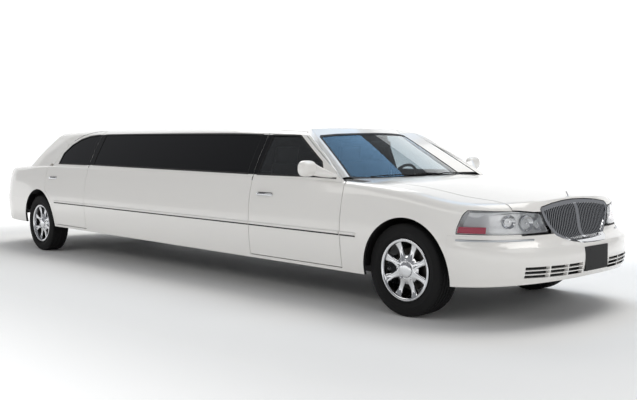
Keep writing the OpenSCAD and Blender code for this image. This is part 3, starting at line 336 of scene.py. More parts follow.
def lower_body(t=0.0, drop=0.0, density=1.0, name="lower"):
    """Solid inside the lower body's surface moved in by t: walls, a curved shoulder and the top to the middle line."""
    nw, nc, nt = int(26 * density), int(10 * density), int(16 * density)
    p = body_outline(int(40 * density), int(96 * density), int(34 * density))
    edge = toward(p, 40)
    r, zc = curve(ROUND, p[0]), top_z(*edge)
    z0, z1 = SILL + 48 * p[2] + 40 * p[3], zc - r
    dc = wall_inset(p, zc)
    px = np.clip(p[0], TAIL_X, NOSE_X)
    reach = np.hypot(p[0] - px, p[1])
    d2 = dc + r * 1.2
    a = (wall_inset(p, z1), z1)
    c = (d2, top_z(*toward(p, d2)))
    rows = [(wall_inset(p, z0) + t, z0 - drop)] if drop else []
    for u in np.linspace(0, 1, nw + 1):
        z = z0 + (z1 - z0) * u
        rows.append((wall_inset(p, z) + t, z))
    for u in np.linspace(0, 1, nc + 1)[1:]:
        rows.append(tuple(a[k] * (1 - u)**2 + (dc, zc)[k] * 2 * u * (1 - u) + c[k] * u**2 + (t * (1 - u), -t * u)[k]
                          for k in (0, 1)))
    for u in np.linspace(0, 1, nt + 1)[1:]:
        d = d2 + (reach * 0.985 - d2) * u
        rows.append((d, top_z(*toward(p, d)) - t))
    rings = []
    for d, z in rows:
        x, y = toward(p, d)
        half = raised(np.stack([x, y, z + 0 * x], 1))
        rings.append(np.concatenate([half, (half * [1, -1, 1])[-2:0:-1]]))
    rings = np.array(rings)
    m, h = rings.shape[1], rings.shape[1] // 2
    i = np.arange(1, h - 1)
    quads = np.stack([i, i + 1, m - i - 1, m - i], 1)
    top = (len(rings) - 1) * m
    faces = np.concatenate([grid_faces(len(rings), m, True), quads, quads[:, ::-1] + top])
    ends = [[0, 1, m - 1], [h, h + 1, h - 1], [top + m - 1, top + 1, top], [top + h - 1, top + h + 1, top + h]]
    return outward(mesh_object(name, rings, faces, ends))


# ---- greenhouse: a tube of sections along X, cut by the windshield and rear window surfaces ----
WAIST = [[XR - 700, 840], [XR - 350, 888], [XR + 200, 912], [XR + 900, 922], [XF - 1200, 922], [XF - 700, 918]]
RAIL = [[XR - 500, 1250], [XR - 150, 1330], [XR + 250, 1368], [XR + 900, 1381], [XF - 3200, 1376], [XF - 2200, 1367],
        [XF - 1770, 1355], [XF - 1350, 1340], [XF - 1000, 1318]]
CREST = [[XR - 500, -130], [XR - 100, -52], [XR + 300, -12], [XR + 1200, 6], [XF - 3000, 2], [XF - 2100, -6],
         [XF - 1685, -16], [XF - 1300, -52], [XF - 1120, -84], [XF - 900, -140]]


def tube(t=0.0, tr=0.0, ng=14, nr=26, stations=150, name="tube"):
    """Greenhouse tube: leaning sides with a slight bulge, then a cubic curve over the roof, made t (roof tr) smaller."""
    x = np.linspace(XR - 760, XF - 560, stations)
    w, zr, zt = curve(WAIST, x), curve(RAIL, x), ROOF_TOP + curve(CREST, x)
    r = np.stack([w - TUMBLE * (zr - BELT) - 8, zr])
    rows = [np.stack([w - t, 0 * x + 940])]
    for u in np.linspace(0, 1, ng + 1):
        z = BELT + (zr - BELT) * u
        rows.append(np.stack([w - TUMBLE * (z - BELT) - 8 * u + 28 * u * (1 - u) - t, z]))
    p1 = np.stack([r[0] - 42 * TUMBLE * 1.6, r[1] + 62])
    p2 = np.stack([r[0] * 0.62, zt - 4])
    p3 = np.stack([0 * x, zt])
    for u in np.linspace(0, 1, nr + 1)[1:]:
        v = 1 - u
        q = r * v**3 + p1 * 3 * u * v * v + p2 * 3 * u * u * v + p3 * u**3
        rows.append(q - np.stack([t * v + 0 * x, tr * u + 0 * x]))
    half = np.array(rows)
    loop = np.concatenate([half, (half * np.array([-1, 1])[:, None])[-2::-1]])
    pts = raised(np.stack([np.broadcast_to(x, loop[:, 0].shape), loop[:, 0], loop[:, 1]], -1))
    rows_n, cols = pts.shape[:2]
    closing = np.stack([np.arange(cols - 1), np.arange(1, cols),
                        (rows_n - 1) * cols + np.arange(1, cols), (rows_n - 1) * cols + np.arange(cols - 1)], 1)
    faces = np.concatenate([grid_faces(rows_n, cols), closing[:, ::-1]])
    ends = [np.arange(rows_n) * cols, (np.arange(rows_n) * cols + cols - 1)[::-1]]
    return outward(mesh_object(name, pts, faces, ends))


def glass_y(z):
    return 730 - 0.43 * (z - 985)


def bow(u):
    return 56 * np.clip(u, 0, 1) * (1 - np.clip(u, 0, 1))


def screen_x(y, z):
    """Windshield surface: x at width y and height z. Past the glass the pillars come forward."""
    h, a = z - 990, np.abs(y)
    g = np.minimum(a, glass_y(z))
    return XF - 500 - 1.67 * h - (0.000458 + 0.00000041 * h) * g * g + 0.6 * (a - g) + bow(h / 375)


def back_x(y, z):
    h = z - 1000
    return XR - 545 + 1.45 * h + 0.0003 * y * y - bow(h / 380)


def glass_bound(t=0.0, ny=48, nz=40, name="bound"):
    """Solid between the windshield and rear window surfaces, both moved inwards by t."""
    u = np.concatenate([[-2, -1.5], np.linspace(-1, 1, ny), [1.5, 2]])[None, :]
    z = np.concatenate([[880], np.linspace(960, 1400, nz), [1560]])[:, None]
    y = np.where(np.abs(u) <= 1, u * glass_y(z), np.sign(u) * (glass_y(z) + (1000 - glass_y(z)) * (np.abs(u) - 1)))
    z = z + 0 * y
    front = raised(np.stack([screen_x(y, z) - t * 1.95, y, z], -1))
    rear = raised(np.stack([back_x(y, z) + t * 1.76, y, z], -1))
    rows, cols = y.shape
    n = rows * cols
    g = grid_faces(rows, cols)
    i, j = np.arange(cols - 1), np.arange(rows - 1) * cols
    rim = [np.stack([i, i + 1, n + i + 1, n + i], 1), np.stack([i, i + 1, n + i + 1, n + i], 1)[:, ::-1] + n - cols,
           np.stack([j, j + n, j + cols + n, j + cols], 1), np.stack([j, j + n, j + cols + n, j + cols], 1)[:, ::-1] + cols - 1]
    return outward(mesh_object(name, np.concatenate([front.reshape(-1, 3), rear.reshape(-1, 3)]),
                               np.concatenate([g, g[:, ::-1] + n] + rim)))


# ---- where the panels part, as in the frame ----
HOOD_EDGE, LID_EDGE, BUMPER_TOP, REAR_BUMPER_TOP = 735.0, 690.0, 640.0, 602.0
HINGE_R = math.hypot(HINGE_BACK, HALF_WIDTH - HINGE_Y)
ARCH_FRONT, ARCH_REAR = (XF + 52, 335.0, 405.0), (XR + 34, 350.0, 425.0)
TOP_LINE = [[BACK0 - 28, 1421], [XR + 1550, 1421], [XF - 3200, 1416], [XF - 2200, 1406], [DOOR0 - 1140, 1393],
            [DOOR0 - 710, 1383]]
WIN_LINE = [[XR + 1200, 1380], [XR + 1550, 1381], [XF - 3200, 1376], [XF - 2200, 1367], [DOOR0 - 1150, 1354],
            [DOOR0 - 716, 1346]]
WAIST_Y, LEAN_LOW, LEAN_HIGH = 922.0, 0.10, 0.26


def line(keys, x0, x1, n):
    """Points of a smooth key curve from x0 to x1."""
    x = np.linspace(x0, x1, n)
    return np.stack([x, curve(keys, x)], 1).tolist()


FRONT_FRAME = [[DOOR0 - 30, 960], [DOOR0 - 30, 1003], [DOOR0 - 295, 1150], [DOOR0 - 692, 1371],
               *line(TOP_LINE, DOOR0 - 730, DOOR1, 9), [DOOR1, 960]]
FRONT_WINDOW = [[DOOR0 - 240, BELT + 14], [DOOR0 - 315, 1125], [DOOR0 - 700, 1340],
                *line(WIN_LINE, DOOR0 - 730, DOOR1 + 60, 7), [DOOR1 + 46, BELT + 14]]
REAR_FRAME = [[BACK0, 960], *line(TOP_LINE, BACK0, XR + 1210, 3), [XR + 1020, 1412], [XR + 800, 1372], [XR + 620, 1308],
              [XR + 470, 1210], [XR + 400, 1100], [XR + 330, 1000], [BACK1 + 6, 960]]
REAR_WINDOW = [[BACK0 - 50, BELT + 44], *line(WIN_LINE, BACK0 - 56, XR + 1180, 3), [XR + 980, 1368], [XR + 790, 1330],
               [XR + 630, 1265], [XR + 500, 1165], [XR + 478, BELT + 46]]
STRETCH_FRAME = [[DOOR1, 960], *line(TOP_LINE, DOOR1, BACK0, 30), [BACK0, 960]]
LONG_WINDOW = [[DOOR1 - 84, BELT + 17], *line(WIN_LINE, DOOR1 - 84, BACK0 + 84, 30), [BACK0 + 84, BELT + 46]]


def slanted(points, depth):
    return across(points, WAIST_Y - depth, 1010, LEAN_HIGH, TUMBLE, WAIST_Y)


def door_low(edge, outline, g):
    """The lower part of a door: behind its round front edge, as deep as a door."""
    a = np.linspace(-np.pi / 2, np.pi / 2, 33)
    r, cx = HINGE_R + g, edge - HINGE_BACK
    nose = np.stack([cx + r * np.cos(a), -HINGE_Y + r * np.sin(a)], 1).tolist()
    inner = -DOOR_Y + (12 if g > 0 else 0)
    nose = [p for p in nose if p[1] < inner] or nose
    zone = upright([[cx - 4000, -1400], [cx, -1400], *nose, [nose[-1][0], inner], [cx - 4000, inner]], 0, 1100)
    low = across(grown(outline, g), 0, HALF_WIDTH + 60, LEAN_LOW, 0, HALF_WIDTH)
    return carved(low, ("*", zone))


FRONT_LOW = [[DOOR0 + 200, DOOR_BASE], [DOOR1, DOOR_BASE], [DOOR1, 1030], [DOOR0 + 200, 1030]]
REAR_LOW = [[BACK0 + 200, DOOR_BASE], [XR + 300, DOOR_BASE], [BACK1, 700], [BACK1, 900], [BACK1 + 8, 1030],
            [BACK0 + 200, 1030]]


def rear_low_zone_of(g):
    low = door_low(BACK0, REAR_LOW, g)
    return carved(low, ("-", cylinder_y(ARCH_REAR[0], ARCH_REAR[1], ARCH_REAR[2] + 46 - g, -1400, 0)))


def door_zone(which, g):
    """Both parts of a door's room, grown by g."""
    depth = 42 + (12 if g > 0 else 2)
    if which == "front":
        return door_low(DOOR0, FRONT_LOW, g), slanted(grown(FRONT_FRAME, g), depth)
    return rear_low_zone_of(g), slanted(grown(REAR_FRAME, g), depth)


def closed(right):
    """Outline symmetric about the middle, from its right half."""
    return list(right) + [[-y, z] for y, z in reversed(right) if y > 0]


def screen_zone(g=0.0):
    side = [[glass_y(z) - 14, z] for z in (1000, 1120, 1240, 1330)]
    top = [[glass_y(1340) - 34, 1346], [400, 1358], [200, 1364], [0, 1366]]
    return grown(closed([[0, 985], [250, 984], [450, 985], [620, 988], [690, 992]] + side + top), g)


def back_zone(g=0.0):
    side = [[690 - 0.36 * (z - 1020) - 8, z] for z in (1046, 1140, 1240, 1330)]
    top = [[690 - 0.36 * 310 - 40, 1346], [300, 1358], [0, 1362]]
    return grown(closed([[0, 1022], [350, 1024], [600, 1030]] + side + top), g)


def hood_plan(g=0.0):
    ys = np.linspace(-HOOD_EDGE, HOOD_EDGE, 31)
    e = HOOD_EDGE
    back = np.stack([screen_x(ys, 990) + 54, ys], 1).tolist()
    return grown(back + [[XF + 100, e], [XF + 420, e - 8], [XF + 640, e - 60], [XF + 1050, e - 60],
                         [XF + 1050, 60 - e], [XF + 640, 60 - e], [XF + 420, 8 - e], [XF + 100, -e]], g)


def lid_plan(g=0.0):
    e = LID_EDGE
    return grown([[LID_FRONT, -e], [LID_FRONT, e], [TAIL_X - 200, e - 6], [XR - 1600, e - 30], [XR - 1600, 30 - e],
                  [TAIL_X - 200, 6 - e]], g)


LAMP_FACE = [[-1000, 652], [-1000, 816], [-900, 818], [-640, 808], [-462, 788], [-440, 720], [-392, 655], [-650, 650]]
LAMP_END = [[XF + 500, 600], [XF + 500, 680], [XF + 540, 790], [XF + 575, 830], [XF + 1100, 830], [XF + 1100, 600]]
GRILLE_HALF = [[0, 566], [140, 570], [250, 590], [330, 628], [385, 680], [425, 738], [446, 790], [448, 812], [430, 826],
               [300, 846], [150, 858], [0, 862]]
TAIL_FACE = [[-1000, 628], [-1000, 872], [-860, 884], [-650, 872], [-650, 628]]
TAIL_END = [[XR - 1600, 600], [XR - 1600, 900], [XR - 1070, 900], [XR - 1000, 640], [XR - 1000, 600]]


def lamp_zone(g=0.0):
    """Room of the right headlamp: its outline from the front, cut by its outline from the side."""
    face = along(softened(grown(LAMP_FACE, g), 26), XF + 300, XF + 1100)
    return carved(face, ("*", across(softened(grown(LAMP_END, g), 26), 0, 1100)))


def tail_zone(g=0.0):
    face = along(grown(TAIL_FACE, g), XR - 1600, XR - 900)
    return carved(face, ("*", across(grown(TAIL_END, g), 0, 1100)))


def grille_zone(g=0.0):
    return grown(closed(GRILLE_HALF), g)


def arches():
    cut = joined("arches", [cylinder_y(x, z, r, -1200, -600) for x, z, r in (ARCH_FRONT, ARCH_REAR)])
    return both_sides(cut)


# ---- materials ----
def linear(hexa):
    """Linear colour of an sRGB hex value."""
    c = [int(hexa[i:i + 2], 16) / 255 for i in (1, 3, 5)]
    return [v / 12.92 if v <= 0.04045 else ((v + 0.055) / 1.055)**2.4 for v in c] + [1.0]


def node(tree, kind, links=None, **settings):
    """Adds one node: settings name its properties or inputs, links name its inputs and give another node's output."""
    n = tree.nodes.new("ShaderNode" + kind)
    for key, value in settings.items():
        if key in n.inputs:
            n.inputs[key].default_value = value
        else:
            setattr(n, key, value)
    for key, output in (links or {}).items():
        tree.links.new(output, n.inputs[key])
    return n


def surface(name, colour, **sockets):
    """New material with one Principled shader; returns it with its tree and shader."""
    mat = bpy.data.materials.new(name)
    mat.use_nodes = True
    tree = mat.node_tree
    shader = tree.nodes["Principled BSDF"]
    shader.inputs["Base Color"].default_value = linear(colour)
    for key, value in sockets.items():
        title = key.replace("_", " ").title()
        shader.inputs[title if title in shader.inputs else key].default_value = value
    mat.diffuse_color = linear(colour)
    return mat, tree, shader


def grain(tree, shader, scale, strength, distance, stretch=(1, 1, 1), detail=3.0):
    """Fine bump from noise; scale is in grains per metre of object space."""
    where = node(tree, "TexCoord")
    turn = node(tree, "Mapping", {"Vector": where.outputs["Object"]}, Scale=stretch)
    noise = node(tree, "TexNoise", {"Vector": turn.outputs["Vector"]}, Scale=scale, Detail=detail)
    bump = node(tree, "Bump", {"Height": noise.outputs["Fac"]}, Strength=strength, Distance=distance)
    tree.links.new(bump.outputs["Normal"], shader.inputs["Normal"])
    return noise, bump


def mottle(tree, shader, noise, dark, light):
    """Slight colour variation between two tones."""
    ramp = node(tree, "ValToRGB", {"Fac": noise.outputs["Fac"]})
    ramp.color_ramp.elements[0].position, ramp.color_ramp.elements[1].position = 0.35, 0.65
    ramp.color_ramp.elements[0].color, ramp.color_ramp.elements[1].color = linear(dark), linear(light)
    tree.links.new(ramp.outputs["Color"], shader.inputs["Base Color"])


def lacquered(name, colour, roughness, coat, edge=0.003):
    """Sprayed enamel under clear lacquer: an even colour, soft-edged folds, a sharp reflection on top."""
    mat, tree, shader = surface(name, colour, Roughness=roughness)
    shader.inputs["Coat Weight"].default_value = coat
    shader.inputs["Coat Roughness"].default_value = 0.04
    shader.inputs["Specular IOR Level"].default_value = 0.5
    soft = node(tree, "Bevel", Radius=edge)
    soft.samples = 4
    where = node(tree, "TexCoord")
    peel = node(tree, "TexNoise", {"Vector": where.outputs["Object"]}, Scale=90.0, Detail=1.0)
    bump = node(tree, "Bump", {"Height": peel.outputs["Fac"], "Normal": soft.outputs["Normal"]}, Strength=0.02, Distance=0.0004)
    tree.links.new(bump.outputs["Normal"], shader.inputs["Normal"])
    tree.links.new(soft.outputs["Normal"], shader.inputs["Coat Normal"])
    return mat


def metal(name, colour, roughness, grain_scale=0.0, strength=0.1):
    mat, tree, shader = surface(name, colour, Metallic=1.0, Roughness=roughness)
    if grain_scale:
        grain(tree, shader, grain_scale, strength, 0.0005)
    return mat


def moulded(name, colour, roughness, scale=900.0, strength=0.25, depth=0.0004, tones=None):
    """Moulded plastic or rubber with a fine pebbled skin."""
    mat, tree, shader = surface(name, colour, Roughness=roughness)
    noise, _ = grain(tree, shader, scale, strength, depth)
    if tones:
        mottle(tree, shader, noise, *tones)
    return mat


# Pearl white two-stage enamel: warm white with a clear coat
PAINT = lacquered("pearl_white_enamel", "#EFEDE9", 0.32, 0.9)
# Inner faces of panels: dark moulded lining
LINING = moulded("moulded_lining", "#1B1B1D", 0.7)
# Black gloss trim round glass and lamps
GLOSS_BLACK = lacquered("gloss_black_trim", "#0A0A0B", 0.12, 0.6, 0.0015)
# Privacy glass: nearly black, mirror smooth
PRIVACY = surface("privacy_glass", "#040406", Roughness=0.05, IOR=1.36)[0]
CHROME = metal("bright_chrome", "#D9DADC", 0.06)
WHEEL_CHROME = metal("chromed_wheel", "#DADBDD", 0.11, 60.0, 0.04)
BRUSHED = metal("cast_steel", "#6E7073", 0.42, 260.0, 0.3)
ALUMINIUM = metal("drawn_aluminium", "#B4B7BB", 0.3, 400.0, 0.12)
IRON = metal("brake_iron", "#4A4744", 0.5, 180.0, 0.35)
# Chassis black: sprayed, slightly dusty
UNDERBODY = moulded("chassis_black", "#141414", 0.65, 140.0, 0.4, 0.001, ("#101011", "#1E1D1C"))
TYRE_RUBBER = moulded("tyre_rubber", "#0A0A0B", 0.9, 700.0, 0.35, 0.0005, ("#070708", "#0F0F10"))
BLACK_PLASTIC = moulded("grained_black_plastic", "#0A0A0B", 0.6)
DASH = moulded("soft_dash_skin", "#2A2B2E", 0.6, 1400.0, 0.4)
LEATHER, _leather_tree, _leather_shader = surface("grained_leather", "#1A1817", Roughness=0.42)
_n, _ = grain(_leather_tree, _leather_shader, 520.0, 0.35, 0.0006, detail=6.0)
mottle(_leather_tree, _leather_shader, _n, "#151312", "#211E1C")
CARPET, _carpet_tree, _carpet_shader = surface("loop_carpet", "#232327", Roughness=0.95)
_n, _ = grain(_carpet_tree, _carpet_shader, 1500.0, 0.9, 0.002)
mottle(_carpet_tree, _carpet_shader, _n, "#17171A", "#2D2D32")
_carpet_shader.inputs["Sheen Weight"].default_value = 0.4


def wood():
    """Lacquered burr: dark brown figure from stretched noise under a clear coat."""
    mat, tree, shader = surface("lacquered_burr", "#3A2112", Roughness=0.25)
    noise, _ = grain(tree, shader, 14.0, 0.05, 0.0003, (1, 4, 6), 8.0)
    mottle(tree, shader, noise, "#1E0F08", "#5A3520")
    shader.inputs["Coat Weight"].default_value = 0.8
    return mat


WOOD = wood()


def clear(name, colour, roughness=0.0, ior=1.45):
    return surface(name, colour, Roughness=roughness, IOR=ior, **{"Transmission Weight": 1.0})[0]


# Laminated glass: faint blue-green; lighter tint in the front doors; polycarbonate on the lamps
SCREEN_GLASS = clear("laminated_glass", "#C9D6DB")
FRONT_DOOR_GLASS = clear("tinted_glass", "#CDD3D6")
LAMP_CLEAR = clear("clear_lamp_cover", "#FBFBFB", 0.0, 1.3)
LAMP_RED = surface("red_lamp_cover", "#7E0B10", Roughness=0.12)[0]
REFLECTOR_RED = surface("rose_reflector", "#C8566A", Roughness=0.25)[0]
MIRROR_SILVER = metal("mirror_silver", "#E9ECEE", 0.01)
REFLECTOR = metal("vacuum_metallised_reflector", "#C9CBCE", 0.14)
LAMP_INSIDE, _lamp_tree, _lamp_shader = surface("satin_lamp_housing", "#DCDEE0", Roughness=0.3, Metallic=0.55)
grain(_lamp_tree, _lamp_shader, 240.0, 0.06, 0.0004)


def dressed(obj, material, body="body", node_names=(), angle=32.0):
    """Gives a finished piece its material, smooth shading and its body, and hides the frame nodes it stands for."""
    if material is not None:
        obj.data.materials.clear()
        obj.data.materials.append(material)
    obj.data.shade_smooth()
    obj.data.set_sharp_from_angle(angle=math.radians(angle))
    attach(obj, body)
    if node_names:
        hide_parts(*node_names)
    return obj


def lined(obj, centre_z=700.0, lining=None):
    """Faces that look inwards, towards the car's middle, take the lining material in the second slot."""
    obj.data.materials.clear()
    obj.data.materials.append(PAINT)
    obj.data.materials.append(lining or LINING)
    n = len(obj.data.polygons)
    normal = np.empty(n * 3)
    centre = np.empty(n * 3)
    obj.data.polygons.foreach_get("normal", normal)
    obj.data.polygons.foreach_get("center", centre)
    normal, centre = normal.reshape(-1, 3), centre.reshape(-1, 3) * 1000
    middle = np.stack([np.clip(centre[:, 0], TAIL_X, NOSE_X), 0 * centre[:, 0], np.full(n, centre_z)], 1)
    outward_dir = centre - middle
    outward_dir[:, 1] *= 1.6
    outward_dir /= np.linalg.norm(outward_dir, axis=1)[:, None]
    kind = (np.sum(normal * outward_dir, 1) < -0.35).astype(np.int32)
    # the rolled lips of the wheel openings are dark as their liners
    for ax, az, r in (ARCH_FRONT, ARCH_REAR):
        away = centre[:, [0, 2]] - [ax, az]
        reach = np.linalg.norm(away, axis=1)
        kind[(reach < r + 4) & (np.sum(normal[:, [0, 2]] * away, 1) < -0.8 * reach)] = 1
    # shut faces of the pillars inside the window band are black
    obj.data.materials.append(BLACK_PLASTIC)
    level = centre[:, 2] - RAKE * (XF - centre[:, 0])
    near_pillar = (np.abs(centre[:, 0] - DOOR1) < 100) | (np.abs(centre[:, 0] - BACK0) < 100)
    in_band = near_pillar & (level > BELT + 20) & (level < curve(WIN_LINE, centre[:, 0]) - 1)
    kind[in_band & (np.abs(normal[:, 0]) > 0.45)] = 2
    obj.data.polygons.foreach_set("material_index", kind)
    return obj


# ---- painted shells, cut into panels as the frame is ----
def whole(name="whole"):
    return lower_body(name=name)


def shell(t, name="shell"):
    """Wall of the lower body, t thick, open underneath."""
    return carved(whole(name), ("-", lower_body(t, 60, name="inner")))


def greenhouse(t=0.0, tr=0.0, name="greenhouse"):
    return carved(tube(t, tr, name=name), ("*", glass_bound(t)))


UPPER = carved(greenhouse(), ("-", greenhouse(42, 38, "inner_greenhouse")))
SHELL = shell(22)
BUMPER_SHELL = shell(30)
SOLID = whole()
FRONT_ZONE = [both_sides(z) for z in door_zone("front", GAP)]
REAR_ZONE = [both_sides(z) for z in door_zone("rear", GAP)]
ALL_DOORS = [("-", z) for z in FRONT_ZONE + REAR_ZONE]
ARCHES = arches()
LAMPS = both_sides(lamp_zone(SEAM))
LAMPS_MOVING = both_sides(lamp_zone(GAP))
TAILS = both_sides(tail_zone(SEAM))
TAILS_MOVING = both_sides(tail_zone(GAP))
GRILLE = along(grille_zone(SEAM), XF + 600, XF + 1100)
HOOD_ROOM = upright(hood_plan(GAP), 700, 1200)
LID_ROOM = upright(lid_plan(GAP), REAR_BUMPER_TOP + 10 - GAP, 1200)
FRONT_LOW_ROOM = block((XF + 441 - SEAM, -1100, 0), (XF + 1200, 1100, BUMPER_TOP + SEAM))
REAR_LOW_ROOM = block((XR - 1600, -1100, 0), (XR - 393 + SEAM, 1100, REAR_BUMPER_TOP + SEAM))


def panel(base, name, *steps):
    return carved(copy_of(base, name), *steps)


def body_side_panels():
    low = panel(SOLID, "side_wall", ("*", both_sides(block((XR - 200, -1100, 0), (DOOR0 + 200, -DOOR_Y, 1100)))))
    frame_zone = both_sides(slanted(grown(STRETCH_FRAME, -SEAM / 2), 44))
    wall = across([[DOOR1, 0], [DOOR1, 1500], [BACK0, 1500], [BACK0, 0]], 300, 1100)
    sill = across([[XR + 462, 0], [XR + 462, DOOR_BASE - 1], [DOOR0 - 1, DOOR_BASE - 1], [DOOR0 - 1, 0]], DOOR_Y - 5, 1100)
    walls = panel(low, "walls", ("*", both_sides(wall)))
    frames = panel(UPPER, "frames", ("*", frame_zone), ("*", both_sides(wall)))
    sills = panel(low, "sills", ("*", both_sides(sill)))
    return carved(walls, ("+", frames), ("+", sills), *ALL_DOORS, ("-", both_sides(slanted(LONG_WINDOW, 120))), ("-", ARCHES))


def quarter_panels():
    shoulder = panel(SHELL, "shoulder", ("*", block((XR - 1600, -1100, 0), (XR + 520, 1100, 1100))))
    side = panel(SOLID, "side", ("*", both_sides(block((XR - 200, -1100, 300), (XR + 520, -DOOR_Y, 1100)))))
    pillar = panel(UPPER, "pillar", ("*", across([[XR + 520, 960], [XR + 520, 1262], [XR + 330, 1340], [XR - 40, 1340],
                                                  [XR - 700, 1120], [XR - 700, 960]], -1100, 1100)))
    return carved(
        shoulder, ("+", side), ("+", pillar), *ALL_DOORS,
        ("-", block((XR - 400, -770, 700), (XR + 600, 770, 1030))),
        ("-", block((XR - 200, -DOOR_Y, 200), (XR + 600, DOOR_Y, 985))),
        ("-", block((LID_FRONT, 20 - LID_EDGE, 700), (XR - 400, LID_EDGE - 20, 979.2))),
        ("-", block((XR + 462 - SEAM, -1100, 0), (XR + 600, 1100, DOOR_BASE - 1 + SEAM))),
        ("-", block((LID_FRONT - 50, -LID_EDGE - GAP, 800), (LID_FRONT + 11, LID_EDGE + GAP, 1100))),
        ("-", along(back_zone(SEAM), XR - 1000, XR + 200)), ("-", LID_ROOM), ("-", TAILS), ("-", REAR_LOW_ROOM),
        ("-", block((XR - 1600, -LID_EDGE, 590), (XR - 900, LID_EDGE, 700))), ("-", ARCHES))


def roof_panel():
    top = line(TOP_LINE, DOOR1, BACK0, 30)
    return panel(
        UPPER, "roof", *ALL_DOORS,
        ("-", both_sides(slanted(grown([[DOOR1 - 2, 900], *top, [BACK0 + 2, 900]], SEAM / 2), 44))),
        ("-", both_sides(block((-4600, -1100, 0), (0, -450, 900)))),
        ("-", across([[XR + 530, 700], [XR + 530, 1262 + SEAM], [XR + 330, 1340 + SEAM], [XR - 40, 1340 + SEAM],
                      [XR - 760, 1106], [XR - 760, 700]], -1100, 1100)),
        ("-", along(screen_zone(SEAM), XF - 1500, XF)), ("-", along(back_zone(SEAM), XR - 1000, XR + 200)),
        ("-", block((XR - 800, -1100, 800), (XF - 300, 1100, 1003))))


def front_fenders():
    return panel(
        SHELL, "fenders", ("*", block((DOOR0 - 20, -1100, 0), (XF + 1100, 1100, 1100))), ("-", HOOD_ROOM),
        ("-", block((DOOR0 - 300, -DOOR_Y + 14 - SEAM, 700), (XF - 455, DOOR_Y - 14 + SEAM, 1100))),
        ("-", block((DOOR0 - 30, -1100, 0), (DOOR0 - 1 + SEAM, 1100, 700))),
        ("-", block((XF - 460, -700, 700), (XF - 420, 700, 1100))), *ALL_DOORS, ("-", LAMPS), ("-", GRILLE),
        ("-", FRONT_LOW_ROOM), ("-", block((XF + 300, -640, 600), (XF + 1100, 640, 1000))), ("-", ARCHES))


def front_bumper():
    slots = [block((XF + 500, s * a if s > 0 else -b, z), (XF + 1200, s * b if s > 0 else -a, z + 20))
             for s in (-1, 1) for z in (362, 390, 418) for a, b in ((181, 337), (347, 507), (517, 693))]
    plate = block((XF + FRONT_END - 24 - SEAM, -155 - SEAM, 360 - SEAM), (XF + 1200, 155 + SEAM, 532 + SEAM))
    plate.data.transform(Matrix.Translation((0, 0, RAKE * FRONT_END / 1000)))
    return panel(BUMPER_SHELL, "bumper_front",
                 ("*", block((XF + 441, -1100, 0), (XF + 1200, 1100, BUMPER_TOP))), ("-", GRILLE),
                 ("-", joined("slots", slots)), ("-", plate), ("-", ARCHES))


def rear_bumper():
    return panel(BUMPER_SHELL, "bumper_rear", ("*", block((XR - 1600, -1100, 0), (XR - 393, 1100, REAR_BUMPER_TOP))),
                 ("-", ARCHES))


def hood():
    return panel(SHELL, "hood", ("*", upright(hood_plan(), 700, 1200)),
                 ("*", block((XF - 800, -1100, 790), (XF + 1100, 1100, 1100))), ("-", LAMPS_MOVING),
                 ("-", along(grille_zone(GAP), XF + 600, XF + 1100)), ("-", block((XF + 700, -1100, 0), (XF + 1100, 1100, 800))))


def trunk_lid():
    e = LID_EDGE
    wedge = prism([[LID_FRONT - 7, -e], [LID_FRONT + 60, -e], [LID_FRONT + 60, e], [LID_FRONT - 7, e]],
                  lambda p: raised(np.stack([p[:, 0] - 50, p[:, 1], 0 * p[:, 0] + 900], 1)),
                  lambda p: raised(np.stack([p[:, 0] - 3, p[:, 1], 0 * p[:, 0] + 994], 1)))
    return panel(SHELL, "lid", ("*", upright(lid_plan(), REAR_BUMPER_TOP + 10, 1200)), ("-", wedge), ("-", TAILS_MOVING))


def door(which):
    window = FRONT_WINDOW if which == "front" else REAR_WINDOW
    low_zone, high_zone = door_zone(which, 0)
    low = panel(SOLID, "door_low", ("*", low_zone))
    high = panel(UPPER, "door_high", ("*", high_zone), ("*", block((-4600, -1100, 0), (4600, -350, 1600))))
    return carved(low, ("+", high), ("-", slanted(window, 120)))


def side_glass(window, name, t0=6, t1=12):
    pane = carved(tube(t0, name=name), ("-", tube(t1)))
    return carved(pane, ("*", slanted(grown(window, -SEAM), 120)))


def hinge_pockets(edge):
    """Room in a door round the fixed half of each hinge."""
    parts = []
    for level in (430, 760):
        z0 = level + RAKE * (XF - edge) - 2
        a = np.linspace(0, 2 * np.pi, 32, endpoint=False)
        c = np.array([edge - HINGE_BACK, -HINGE_Y])
        round_part = (c + 18 * np.stack([np.cos(a), np.sin(a)], 1)).tolist()
        wedge = (c + np.array([[0, -10], [300, 20], [300, 300], [-26, 300], [-26, 0]])).tolist()
        for outline in (round_part, wedge):
            parts.append(prism(outline, lambda p: np.stack([p[:, 0], p[:, 1], 0 * p[:, 0] + z0], 1),
                               lambda p: np.stack([p[:, 0], p[:, 1], 0 * p[:, 0] + z0 + 60], 1)))
    for p in parts[1:]:
        parts[0] = carved(parts[0], ("+", p))
    return parts[0]


def revolved(name, profile, centre, axis, steps=96, wave=None):
    """Ring of a closed profile [radius, along the axis] turned about an axis through centre; wave may change radii."""
    p = np.array(profile, float)
    a = np.linspace(0, 2 * np.pi, steps, endpoint=False)[:, None]
    r = p[None, :, 0] + (wave(a, p[None, :, 1], p[None, :, 0]) if wave else 0)
    h = p[None, :, 1] + 0 * a
    c, s = r * np.cos(a), r * np.sin(a)
    order = {"x": (h, c, s), "y": (c, h, s), "z": (c, s, h)}[axis]
    pts = np.stack(order, -1) + np.array(centre, float)
    n = len(p)
    i = np.arange(steps)[:, None]
    j = np.arange(n)[None, :]
    k, m = (i + 1) % steps, (j + 1) % n
    faces = np.stack([i * n + j, k * n + j, k * n + m, i * n + m], -1).reshape(-1, 4)
    return outward(mesh_object(name, pts, faces))


